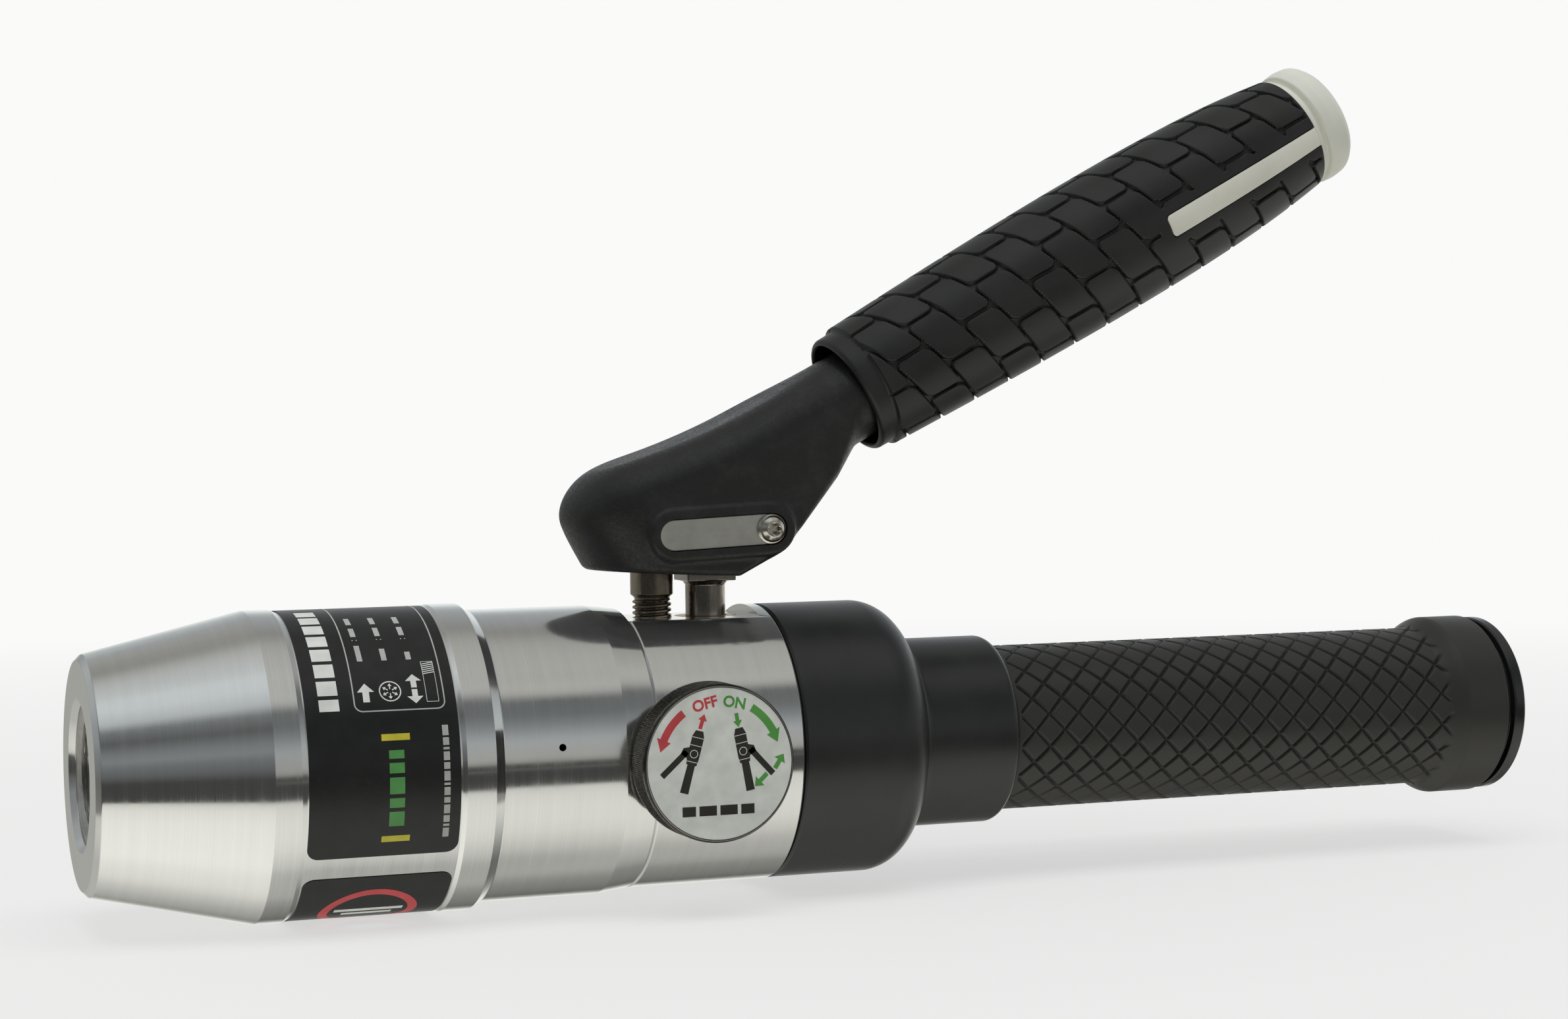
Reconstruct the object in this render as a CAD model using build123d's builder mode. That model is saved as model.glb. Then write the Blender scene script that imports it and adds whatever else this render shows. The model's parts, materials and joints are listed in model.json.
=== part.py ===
from build123d import *
import os
from math import cos, radians, sin

# Hand-held hydraulic punch driver, in millimetres.
# X runs along the tool from the nose face to the end of the rear grip, +Z points
# up to the pumping lever and the release knob is on the -Y side. The origin is the
# centre of the nose face. The lever stands open.

# --- Clearances -------------------------------------------------------------
RUNNING = 0.05          # radial clearance of parts that move in each other
SEAT = 0.03             # radial gap of parts that sit in each other

# --- Cylinder -----------------------------------------------------------------
NOSE_R = 25.6           # outer radius of the nose face
CONE_END = 34.9         # where the cone reaches the full band
BAND_R = 33.5
BAND_END = 40.5
LAND_R = 33.1           # label land
LAND_START = 41.7
LAND_END = 74.3
RING_START = 75.3
RING_END = 81.5
BARREL_R = 32.0
BARREL_START = 83.8
TAPER_START = 110.8
JOINT_X = 118.0         # rear face of the cylinder
BORE_R = 24.0           # pressure bore
BORE_START = 30.0
ROD_R = 15.0
NOSE_HOLE_R = 15.6
VENT_X = 96.4
VENT_R = 0.8
VENT_ANGLE = 7.5        # degrees above the -Y side

# --- Ram and piston -----------------------------------------------------------
RAM_FRONT = 1.5
THREAD_R = 12.0         # inside the draw stud thread
THREAD_END = 29.0
PISTON_START = 34.0
PISTON_END = 46.0
SPIGOT_R = 10.0
NUT_END = 51.5
SPRING_END = 107.9      # the return spring's fixed end

# --- Pump block -----------------------------------------------------------------
BLOCK_R = 31.1
BLOCK_END = 151.75
FLAT_Z = 28.9           # milled flat under the lever
FLAT_END = 148.7
FRONT_SPIGOT_START = 108.0
FRONT_SPIGOT_R = 23.95
REAR_SPIGOT_R = 22.0
REAR_SPIGOT_END = 160.5
SCREW_PCR = 26.8        # radius of the circle of the four block screws
SCREW_START = 107.0

POST_X = 127.1          # fulcrum post
PLUNGER_X = 139.8
POST_R = 4.8
POST_THREAD_R = 4.35
PLUNGER_R = 4.5
CHAMBER_R = 4.8
CHAMBER_FLOOR = -15.0
CAGE_TOP = -10.6
BUSH_R = 7.0
BUSH_BOTTOM = 14.0
SEAL_BOTTOM = 10.0

VALVE_Z = -1.0          # delivery valve axis
PASSAGE_Z = -27.5       # pressure passage to the front of the cylinder
PASSAGE_R = 1.5
INLET_Z = -18.0

# --- Release valve ----------------------------------------------------------------
KNOB_X = 128.4
KNOB_BACK = -31.9
KNOB_FRONT = -41.0
KNOB_R = 17.0
DIAL_R = 16.3
SPINDLE_R = 3.0

# --- Rear cover, reservoir and grip -----------------------------------------------
SHOULDER_END = 187.0
NECK_R = 21.7
NECK_END = 208.4
TUBE_R = 17.0
TUBE_WALL = 2.0
TUBE_START = 190.0
TUBE_END = 338.5
GRIP_R = 19.15
FLARE_START = 321.0
COLLAR_START = 327.0
COLLAR_R = 21.7
COLLAR_END = 339.3
DISC_START = 340.8
DISC_END = 344.1
DISC_R = 21.2

# --- Lever --------------------------------------------------------------------------
LEVER_ANGLE = 28.1      # degrees above +X
LIP = Vector(174.5, 0, 78.0)
GRIP_LENGTH = 131.4
LEVER_TUBE_R = 8.5
HEAD_HALF = 17.2        # half width of the head
CHANNEL_HALF = 5.4
PIN_PLATE_FACE = -17.0
PIN_PLATE_THICK = 1.5
PIN_END = 15.0
FULCRUM_Z = 47.7
FULCRUM_PIN_R = 3.0
PLUNGER_PIN_Z = 48.3
PLUNGER_PIN_R = 2.5
PLATE_SCREW = Vector(149.7, 0, 48.65)
BLOCK_HEAD = (134.05, 145.55, 36.8, 52.8)   # plunger head: low x, high x, low z, high z

POST_AXIS = Axis((POST_X, 0, 0), (0, 0, 1))
PLUNGER_AXIS = Axis((PLUNGER_X, 0, 0), (0, 0, 1))
SPINDLE_AXIS = Axis((KNOB_X, 0, 0), (0, -1, 0))
DELIVERY_AXIS = Axis((0, 0, VALVE_Z), (1, 0, 0))
RELIEF_AXIS = Axis((123.0, 0, VALVE_Z), (0, 1, 0))
FULCRUM_AXIS = Axis((POST_X, 0, FULCRUM_Z), (0, 1, 0))
PLUNGER_PIN_AXIS = Axis((PLUNGER_X, 0, PLUNGER_PIN_Z), (0, 1, 0))
PLATE_SCREW_AXIS = Axis((PLATE_SCREW.X, 0, PLATE_SCREW.Z), (0, -1, 0))
ALONG = Vector(cos(radians(LEVER_ANGLE)), 0, sin(radians(LEVER_ANGLE)))
LEVER_AXIS = Axis(LIP, ALONG)


# --- Ways of making things ------------------------------------------------------------
def profile_plane(axis):
    """Plane whose x runs along the axis, for drawing half sections."""
    across = axis.direction.cross(Vector(0, 0, 1))
    normal = across if across.length > 0.01 else Vector(0, -1, 0)
    return Plane(origin=axis.position, x_dir=axis.direction, z_dir=normal)


def turned(points, axis=Axis.X, mode=Mode.ADD):
    """Turn a closed outline of (distance along the axis, radius) about the axis."""
    with BuildSketch(profile_plane(axis)) as outline:
        Polygon(*points)
    revolve(outline.sketch, axis=axis, mode=mode)


def rod(axis, start, end, radius, mode=Mode.ADD):
    """Solid cylinder on the axis."""
    turned([(start, 0), (end, 0), (end, radius), (start, radius)], axis, mode)


def bore(axis, start, end, radius):
    """Cylinder cut away on the axis."""
    rod(axis, start, end, radius, Mode.SUBTRACT)


def sleeve(axis, start, end, inner, outer, mode=Mode.ADD):
    """Ring between two radii."""
    turned([(start, inner), (end, inner), (end, outer), (start, outer)], axis, mode)


def o_ring(axis, along, ring_r, section_r):
    """Round section ring."""
    with BuildSketch(profile_plane(axis)) as section:
        with Locations((along, ring_r)):
            Circle(section_r)
    revolve(section.sketch, axis=axis)


def ball(axis, along, radius):
    """Valve ball on the axis."""
    centre = axis.position + axis.direction * along
    with Locations(centre):
        Sphere(radius)


def coil_spring(axis, start, end, coils, mean_r, wire_r, runs=1):
    """Open coil spring whose wire stays between start and end, swept in equal runs."""
    low = start + wire_r
    length = end - start - 2 * wire_r
    for run in range(runs):
        centre = axis.position + axis.direction * (low + run * length / runs)
        wire = Helix(length / coils, length / runs, mean_r, centre, axis.direction,
                     mode=Mode.PRIVATE)
        with BuildSketch(Plane(origin=wire @ 0, z_dir=wire % 0)) as section:
            Circle(wire_r)
        sweep(section.sketch, path=wire, clean=False)


def stadium(x_low, z_low, x_high, z_high, radius, y_face, depth, mode=Mode.ADD):
    """Rounded bar between two centres, seen from -Y, from y_face inwards."""
    run = Vector(x_high - x_low, z_high - z_low, 0)
    angle = Vector(1, 0, 0).get_signed_angle(run, Vector(0, 0, 1))
    with BuildSketch(Plane.XZ.offset(-y_face)) as bar:
        with Locations(Location(((x_low + x_high) / 2, (z_low + z_high) / 2), angle)):
            SlotCenterToCenter(run.length, 2 * radius)
    extrude(bar.sketch, amount=-depth, mode=mode)


# --- Cylinder ------------------------------------------------------------------------
with BuildPart() as cylinder_body:
    turned([
        (0, NOSE_HOLE_R), (0, NOSE_R - 1.2), (1.0, NOSE_R), (CONE_END, BAND_R),
        (BAND_END, BAND_R), (LAND_START, LAND_R), (LAND_END, LAND_R), (RING_START, BAND_R),
        (RING_END, BAND_R), (BARREL_START, BARREL_R), (TAPER_START, BARREL_R),
        (JOINT_X, BLOCK_R), (JOINT_X, BORE_R), (BORE_START, BORE_R),
        (BORE_START, ROD_R + RUNNING), (0.6, ROD_R + RUNNING),
    ])
    # Grooves of the wiper and the ram seal, and the seat of the bush
    sleeve(Axis.X, 3.0, 6.0, ROD_R, 17.5, Mode.SUBTRACT)
    sleeve(Axis.X, 8.0, 19.0, ROD_R, 17.2, Mode.SUBTRACT)
    sleeve(Axis.X, 22.0, 27.0, ROD_R, 19.0, Mode.SUBTRACT)
    # Pressure passage along the wall, and its way into the front of the bore
    bore(Axis((0, 0, PASSAGE_Z), (1, 0, 0)), 31.0, JOINT_X, PASSAGE_R)
    bore(Axis((32.5, 0, 0), (0, 0, 1)), PASSAGE_Z, -BORE_R + 1, PASSAGE_R)
    # Breather of the spring chamber
    toward_vent = Vector(0, -cos(radians(VENT_ANGLE)), sin(radians(VENT_ANGLE)))
    bore(Axis((VENT_X, 0, 0), toward_vent), BORE_R - 2, BARREL_R + 1, VENT_R)
    # Tapped holes of the block screws
    with Locations(Plane.YZ.offset(SCREW_START - 1)):
        with PolarLocations(SCREW_PCR, 4, start_angle=45):
            Cylinder(2.0 + SEAT, JOINT_X - SCREW_START + 1,
                     align=(Align.CENTER, Align.CENTER, Align.MIN), mode=Mode.SUBTRACT)

with BuildPart() as rod_wiper:
    turned([
        (3.1, ROD_R + 2 * RUNNING), (3.9, ROD_R + RUNNING), (5.9, ROD_R + 0.4),
        (5.9, 17.4), (3.1, 17.4),
    ])

with BuildPart() as rod_bush:
    sleeve(Axis.X, 8.1, 18.9, ROD_R + RUNNING, 17.15)

with BuildPart() as rod_seal:
    turned([
        (22.1, ROD_R + RUNNING), (26.9, ROD_R + RUNNING), (26.9, 16.2), (24.6, 17.0),
        (26.9, 17.8), (26.9, 18.9), (22.1, 18.9),
    ])

with BuildPart() as ram:
    turned([
        (RAM_FRONT, THREAD_R + 1.0), (RAM_FRONT, ROD_R - 0.6), (RAM_FRONT + 0.6, ROD_R),
        (PISTON_START, ROD_R), (PISTON_START, SPIGOT_R), (NUT_END + 0.4, SPIGOT_R),
        (NUT_END + 0.4, 0), (THREAD_END + 2.5, 0), (THREAD_END, THREAD_R),
        (RAM_FRONT + 1.0, THREAD_R),
    ])

with BuildPart() as piston:
    sleeve(Axis.X, PISTON_START, PISTON_END, SPIGOT_R + SEAT, BORE_R - RUNNING)
    sleeve(Axis.X, 36.5, 40.0, 20.5, BORE_R, Mode.SUBTRACT)
    sleeve(Axis.X, 41.6, 44.2, 21.8, BORE_R, Mode.SUBTRACT)

with BuildPart() as piston_seal:
    sleeve(Axis.X, 36.6, 39.9, 20.55, BORE_R - RUNNING)

with BuildPart() as piston_guide_ring:
    sleeve(Axis.X, 41.7, 44.1, 21.85, BORE_R - RUNNING)

with BuildPart() as piston_nut:
    with BuildSketch(Plane.YZ.offset(PISTON_END)):
        RegularPolygon(13.0, 6, major_radius=False)
        Circle(SPIGOT_R + SEAT, mode=Mode.SUBTRACT)
    extrude(amount=NUT_END - PISTON_END)

with BuildPart() as return_spring:
    coil_spring(Axis.X, PISTON_END + 0.1, SPRING_END, 7, 18.0, 2.0, runs=7)

with BuildPart() as cylinder_oring:
    o_ring(Axis.X, 112.0, 23.15, 0.8)

with BuildPart() as port_oring:
    o_ring(Axis((0, 0, PASSAGE_Z), (1, 0, 0)), JOINT_X + 0.55, 2.2, 0.5)

with BuildPart() as block_screws:
    with Locations(Plane.YZ.offset(SCREW_START)):
        with PolarLocations(SCREW_PCR, 4, start_angle=45):
            Cylinder(2.0, 40.6, align=(Align.CENTER, Align.CENTER, Align.MIN))
            with Locations((0, 0, 40.6)):
                Cylinder(3.5, 4.0, align=(Align.CENTER, Align.CENTER, Align.MIN))
            with Locations((0, 0, 42.6)):
                Cylinder(1.6, 2.0, align=(Align.CENTER, Align.CENTER, Align.MIN),
                         mode=Mode.SUBTRACT)


# --- Labels -----------------------------------------------------------------------------
def label(start, end, low_angle, high_angle):
    """Printed film on the label land, between two angles above the -Y side."""
    with BuildSketch(Plane.XY) as film:
        Polygon((start, LAND_R + 0.02), (end, LAND_R + 0.02), (end, LAND_R + 0.17),
                (start, LAND_R + 0.17))
    turn = Location((0, 0, 0), (180 - low_angle, 0, 0))
    revolve(turn * film.sketch, axis=Axis.X, revolution_arc=-(high_angle - low_angle))


with BuildPart() as data_label:
    label(LAND_START + 0.5, LAND_END - 0.5, -29.5, 118.0)

with BuildPart() as warning_label:
    label(LAND_START + 0.5, LAND_END - 0.5, -106.0, -41.0)

# --- Pump block ---------------------------------------------------------------------------
with BuildPart() as pump_block:
    turned([
        (FRONT_SPIGOT_START, 0), (FRONT_SPIGOT_START, FRONT_SPIGOT_R - 0.6),
        (FRONT_SPIGOT_START + 0.6, FRONT_SPIGOT_R), (JOINT_X, FRONT_SPIGOT_R),
        (JOINT_X, BLOCK_R), (BLOCK_END, BLOCK_R), (BLOCK_END, REAR_SPIGOT_R),
        (REAR_SPIGOT_END, REAR_SPIGOT_R), (REAR_SPIGOT_END, 0),
    ])
    # Milled flat, ending in a short step
    with Locations(((JOINT_X + FLAT_END) / 2, 0, FLAT_Z)):
        Box(FLAT_END - JOINT_X, 40, 10, align=(Align.CENTER, Align.CENTER, Align.MIN),
            mode=Mode.SUBTRACT)
    # O-ring grooves
    sleeve(Axis.X, 110.9, 113.1, 22.3, BORE_R, Mode.SUBTRACT)
    sleeve(Axis.X, 155.0, 157.4, 20.4, REAR_SPIGOT_R + 1, Mode.SUBTRACT)
    sleeve(Axis((0, 0, PASSAGE_Z), (1, 0, 0)), JOINT_X, JOINT_X + 1.1, 1.65, 2.75,
           Mode.SUBTRACT)
    # Fulcrum post, plunger, bush and seal, pump chamber and inlet
    bore(POST_AXIS, 14.5, FLAT_Z + 1, POST_THREAD_R + SEAT)
    bore(PLUNGER_AXIS, SEAL_BOTTOM, FLAT_Z + 1, BUSH_R + SEAT)
    bore(PLUNGER_AXIS, CHAMBER_FLOOR, SEAL_BOTTOM + 1, CHAMBER_R)
    bore(PLUNGER_AXIS, INLET_Z, CHAMBER_FLOOR + 0.5, 1.3)
    bore(Axis((0, 0, INLET_Z), (1, 0, 0)), PLUNGER_X, REAR_SPIGOT_END + 1, 1.6)
    # Delivery valve and the passage down to the cylinder
    bore(DELIVERY_AXIS, FRONT_SPIGOT_START - 1, 133.0, 3.0)
    bore(DELIVERY_AXIS, 132.0, PLUNGER_X, 1.2)
    bore(Axis((119.8, 0, 0), (0, 0, -1)), -VALVE_Z, -PASSAGE_Z + PASSAGE_R, PASSAGE_R)
    bore(Axis((0, 0, PASSAGE_Z), (1, 0, 0)), JOINT_X - 1, 119.8, PASSAGE_R)
    # Release valve from the -Y side, with its return passage to the reservoir
    bore(SPINDLE_AXIS, 2.0, 5.5, 0.9)
    bore(SPINDLE_AXIS, 5.0, 12.5, 2.2)
    bore(SPINDLE_AXIS, 12.0, 14.5, 3.2)
    bore(SPINDLE_AXIS, 14.0, 20.5, 4.6)
    bore(SPINDLE_AXIS, 20.0, 32.0, 5.0 + SEAT)
    bore(Axis((0, -9.0, 0), (1, 0, 0)), KNOB_X, REAR_SPIGOT_END + 1, 1.5)
    # Pressure limiting valve from the +Y side, with its return passage
    bore(RELIEF_AXIS, 2.0, 5.5, 0.9)
    bore(RELIEF_AXIS, 5.0, 17.5, 2.6)
    bore(RELIEF_AXIS, 17.0, 32.0, 3.5 + SEAT)
    bore(Axis((0, 9.5, VALVE_Z), (1, 0, 0)), RELIEF_AXIS.position.X, REAR_SPIGOT_END + 1, 1.5)
    # Through holes and head seats of the block screws
    with Locations(Plane.YZ.offset(JOINT_X - 1)):
        with PolarLocations(SCREW_PCR, 4, start_angle=45):
            Cylinder(2.2, 40, align=(Align.CENTER, Align.CENTER, Align.MIN),
                     mode=Mode.SUBTRACT)
    with Locations(Plane.YZ.offset(147.5)):
        with PolarLocations(SCREW_PCR, 4, start_angle=45):
            Cylinder(3.65, 10, align=(Align.CENTER, Align.CENTER, Align.MIN),
                     mode=Mode.SUBTRACT)

with BuildPart() as fulcrum_post:
    turned([
        (15.0, 0), (15.0, POST_THREAD_R - 0.6), (15.6, POST_THREAD_R), (33.3, POST_THREAD_R),
        (33.8, POST_R), (FULCRUM_Z + 1.0, POST_R), (FULCRUM_Z + 4.0, POST_R - 1.3),
        (FULCRUM_Z + 5.3, POST_R - 3.2), (FULCRUM_Z + 5.3, 0),
    ], POST_AXIS)
    bore(FULCRUM_AXIS, -POST_R - 1, POST_R + 1, FULCRUM_PIN_R + RUNNING)

with BuildPart() as plunger:
    rod(PLUNGER_AXIS, 6.0, BLOCK_HEAD[2] + 1, PLUNGER_R)
    with Locations((PLUNGER_X, 0, (BLOCK_HEAD[2] + BLOCK_HEAD[3]) / 2)):
        Box(BLOCK_HEAD[1] - BLOCK_HEAD[0], 2 * 4.95, BLOCK_HEAD[3] - BLOCK_HEAD[2])
    chamfer(edges().filter_by(Axis.Z), 0.3)
    # Cross slot for the lever's pin, which swings on a short arc
    stadium(PLUNGER_X - 1.7, PLUNGER_PIN_Z, PLUNGER_X + 0.2, PLUNGER_PIN_Z,
            PLUNGER_PIN_R + 0.2, -6.0, 12.0, Mode.SUBTRACT)

with BuildPart() as plunger_bush:
    turned([
        (BUSH_BOTTOM + 0.05, PLUNGER_R + RUNNING), (FLAT_Z - 0.4, PLUNGER_R + RUNNING),
        (FLAT_Z, PLUNGER_R + 0.45), (FLAT_Z, BUSH_R), (BUSH_BOTTOM + 0.05, BUSH_R),
    ], PLUNGER_AXIS)

with BuildPart() as plunger_seal:
    turned([
        (SEAL_BOTTOM + 0.05, PLUNGER_R + RUNNING), (SEAL_BOTTOM + 0.05, 5.3),
        (11.6, 5.75), (SEAL_BOTTOM + 0.05, 6.2), (SEAL_BOTTOM + 0.05, BUSH_R),
        (BUSH_BOTTOM, BUSH_R), (BUSH_BOTTOM, PLUNGER_R + RUNNING),
    ], PLUNGER_AXIS)

with BuildPart() as plunger_spring:
    coil_spring(PLUNGER_AXIS, CAGE_TOP + 0.05, 5.9, 8, 3.6, 0.45)

with BuildPart() as inlet_cage:
    sleeve(PLUNGER_AXIS, CHAMBER_FLOOR, CAGE_TOP, 2.15, CHAMBER_R - SEAT)
    sleeve(PLUNGER_AXIS, -11.3, CAGE_TOP, 1.0, 2.6)

with BuildPart() as inlet_ball:
    ball(PLUNGER_AXIS, -13.42, 2.0)

with BuildPart() as outlet_ball:
    ball(DELIVERY_AXIS, 131.37, 2.0)

with BuildPart() as outlet_spring:
    coil_spring(DELIVERY_AXIS, 114.1, 129.9, 6, 1.9, 0.35)

with BuildPart() as outlet_plug:
    rod(DELIVERY_AXIS, FRONT_SPIGOT_START, 114.0, 3.0 - SEAT)
    with BuildSketch(Plane.YZ.offset(FRONT_SPIGOT_START)):
        with Locations((0, VALVE_Z)):
            RegularPolygon(1.25, 6, major_radius=False)
    extrude(amount=2.5, mode=Mode.SUBTRACT)

with BuildPart() as relief_ball:
    ball(RELIEF_AXIS, 6.23, 1.5)

with BuildPart() as relief_spring:
    coil_spring(RELIEF_AXIS, 8.6, 16.9, 5, 1.75, 0.5)

with BuildPart() as relief_screw:
    rod(RELIEF_AXIS, 17.1, 27.5, 3.5)
    rod(RELIEF_AXIS, 7.8, 17.2, 1.0)
    with BuildSketch(Plane.XZ.offset(-27.5)):
        with Locations((RELIEF_AXIS.position.X, VALVE_Z)):
            RegularPolygon(1.5, 6, major_radius=False)
    extrude(amount=3.0, mode=Mode.SUBTRACT)

with BuildPart() as release_ball:
    ball(SPINDLE_AXIS, 6.23, 1.5)

with BuildPart() as spindle_oring:
    o_ring(SPINDLE_AXIS, 17.2, 3.83, 0.72)

with BuildPart() as spindle_gland:
    sleeve(SPINDLE_AXIS, 20.1, 30.4, SPINDLE_R + RUNNING, 5.0)

with BuildPart() as release_spindle:
    turned([
        (7.85, 0), (7.85, 1.2), (8.3, 1.7), (13.0, 1.7), (14.2, SPINDLE_R),
        (-KNOB_FRONT - 3.2, SPINDLE_R), (-KNOB_FRONT - 3.2, 1.3), (30.0, 1.3), (30.0, 0),
    ], SPINDLE_AXIS)

with BuildPart() as release_knob:
    back, front = -KNOB_BACK, -KNOB_FRONT
    turned([
        (back, SPINDLE_R + SEAT), (front - 3.2, SPINDLE_R + SEAT), (front - 3.2, 1.3 + SEAT),
        (front - 2.4, 1.3 + SEAT), (front - 2.4, 3.0), (front - 0.8, 3.0),
        (front - 0.8, DIAL_R + SEAT), (front - 0.1, DIAL_R + SEAT), (front - 0.1, KNOB_R - 0.4),
        (front - 0.5, KNOB_R), (back + 0.5, KNOB_R), (back, KNOB_R - 0.5),
    ], SPINDLE_AXIS)

with BuildPart() as knob_screw:
    front = -KNOB_FRONT
    turned([
        (30.5, 0), (30.5, 1.25), (front - 2.35, 1.25), (front - 2.35, 2.6),
        (front - 0.9, 2.6), (front - 0.9, 0),
    ], SPINDLE_AXIS)

with BuildPart() as dial_disc:
    rod(SPINDLE_AXIS, -KNOB_FRONT - 0.78, -KNOB_FRONT, DIAL_R)

# --- Rear cover and reservoir ---------------------------------------------------------------
with BuildPart() as rear_cover:
    shoulder_r = 9.0
    foot_r = 2.6
    shoulder_start = SHOULDER_END - foot_r - shoulder_r
    edge_r = BLOCK_R - 0.1
    with BuildSketch(Plane.XY):
        with BuildLine():
            Polyline((BLOCK_END + 0.05, REAR_SPIGOT_R + SEAT), (BLOCK_END + 0.05, edge_r - 0.3),
                     (BLOCK_END + 0.35, edge_r), (shoulder_start, edge_r))
            Line((shoulder_start, edge_r), (SHOULDER_END - foot_r, edge_r))
            Polyline((SHOULDER_END - foot_r, edge_r), (SHOULDER_END - foot_r, NECK_R),
                     (NECK_END, NECK_R), (NECK_END, TUBE_R + 0.1), (TUBE_START - 0.2, TUBE_R + SEAT),
                     (TUBE_START - 0.2, TUBE_R - TUBE_WALL), (161.0, TUBE_R - TUBE_WALL),
                     (161.0, REAR_SPIGOT_R + SEAT), (BLOCK_END + 0.05, REAR_SPIGOT_R + SEAT))
        make_face()
    revolve(axis=Axis.X)
    shoulder = edges().filter_by(GeomType.CIRCLE).filter_by(
        lambda e: abs(e.radius - edge_r) < 0.01 and e.center().X > 180)
    fillet(shoulder, shoulder_r - 0.2)
    foot = edges().filter_by(GeomType.CIRCLE).filter_by(
        lambda e: abs(e.radius - NECK_R) < 0.01 and e.center().X < 190)
    fillet(foot, foot_r - 2.4)
    neck_edge = edges().filter_by(GeomType.CIRCLE).filter_by(
        lambda e: abs(e.radius - NECK_R) < 0.01 and e.center().X > 200)
    fillet(neck_edge, 2.2)

with BuildPart() as cover_oring:
    o_ring(Axis.X, 156.2, 21.2, 0.78)

with BuildPart() as suction_screen:
    turned([
        (REAR_SPIGOT_END + 0.05, 12.0), (REAR_SPIGOT_END + 0.4, 12.0),
        (REAR_SPIGOT_END + 0.4, 20.6), (REAR_SPIGOT_END + 0.05, 20.6),
    ])

with BuildPart() as reservoir_tube:
    sleeve(Axis.X, TUBE_START, TUBE_END, TUBE_R - TUBE_WALL, TUBE_R)

with BuildPart() as oil_bladder:
    turned([
        (200.0, 0), (200.0, 11.0), (203.0, 13.8), (316.0, 13.8), (320.0, 13.1),
        (326.0, 13.1), (326.0, 12.1), (319.6, 12.1), (315.6, 12.8), (203.6, 12.8),
        (201.0, 10.4), (201.0, 0),
    ])

with BuildPart() as bladder_clamp:
    sleeve(Axis.X, 321.0, 325.5, 13.15, 13.7)

with BuildPart() as end_plug:
    turned([
        (319.0, 1.5), (319.0, 12.05), (326.3, 12.05), (326.3, TUBE_R - TUBE_WALL - SEAT),
        (TUBE_END + 0.05, TUBE_R - TUBE_WALL - SEAT), (TUBE_END + 0.05, 19.4),
        (DISC_START, 19.4), (DISC_START, DISC_R - 0.4), (DISC_START + 0.4, DISC_R),
        (DISC_END - 0.7, DISC_R), (DISC_END, DISC_R - 0.7), (DISC_END, 4.5),
        (DISC_END - 1.5, 4.5), (DISC_END - 1.5, 1.5),
    ])
    sleeve(Axis.X, 330.0, 332.4, 13.4, TUBE_R, Mode.SUBTRACT)

with BuildPart() as end_plug_oring:
    o_ring(Axis.X, 331.2, 14.2, 0.77)

with BuildPart() as rear_grip:
    with BuildSketch(Plane.XY):
        with BuildLine():
            Polyline((NECK_END + 0.05, TUBE_R + SEAT), (NECK_END + 0.05, GRIP_R - 0.4),
                     (NECK_END + 0.45, GRIP_R), (FLARE_START, GRIP_R))
            Spline((FLARE_START, GRIP_R), (COLLAR_START, COLLAR_R),
                   tangents=((1, 0), (1, 0.35)))
            Polyline((COLLAR_START, COLLAR_R), (COLLAR_END - 0.6, COLLAR_R),
                     (COLLAR_END, COLLAR_R - 0.6), (COLLAR_END, 19.5), (TUBE_END, 19.5),
                     (TUBE_END, TUBE_R + SEAT), (NECK_END + 0.05, TUBE_R + SEAT))
        make_face()
    revolve(axis=Axis.X)


# --- Lever -------------------------------------------------------------------------------------
def across_lever(along):
    """Plane square to the lever's axis, at a distance from the grip's lip."""
    return Plane(origin=LIP + ALONG * along, x_dir=(0, 1, 0), z_dir=ALONG)


NECK_HALF = 12.4        # half width of the neck where it enters the grip
NECK_RISE = 10.8        # its height above the lever axis
NECK_STOP = 8.0

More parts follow.
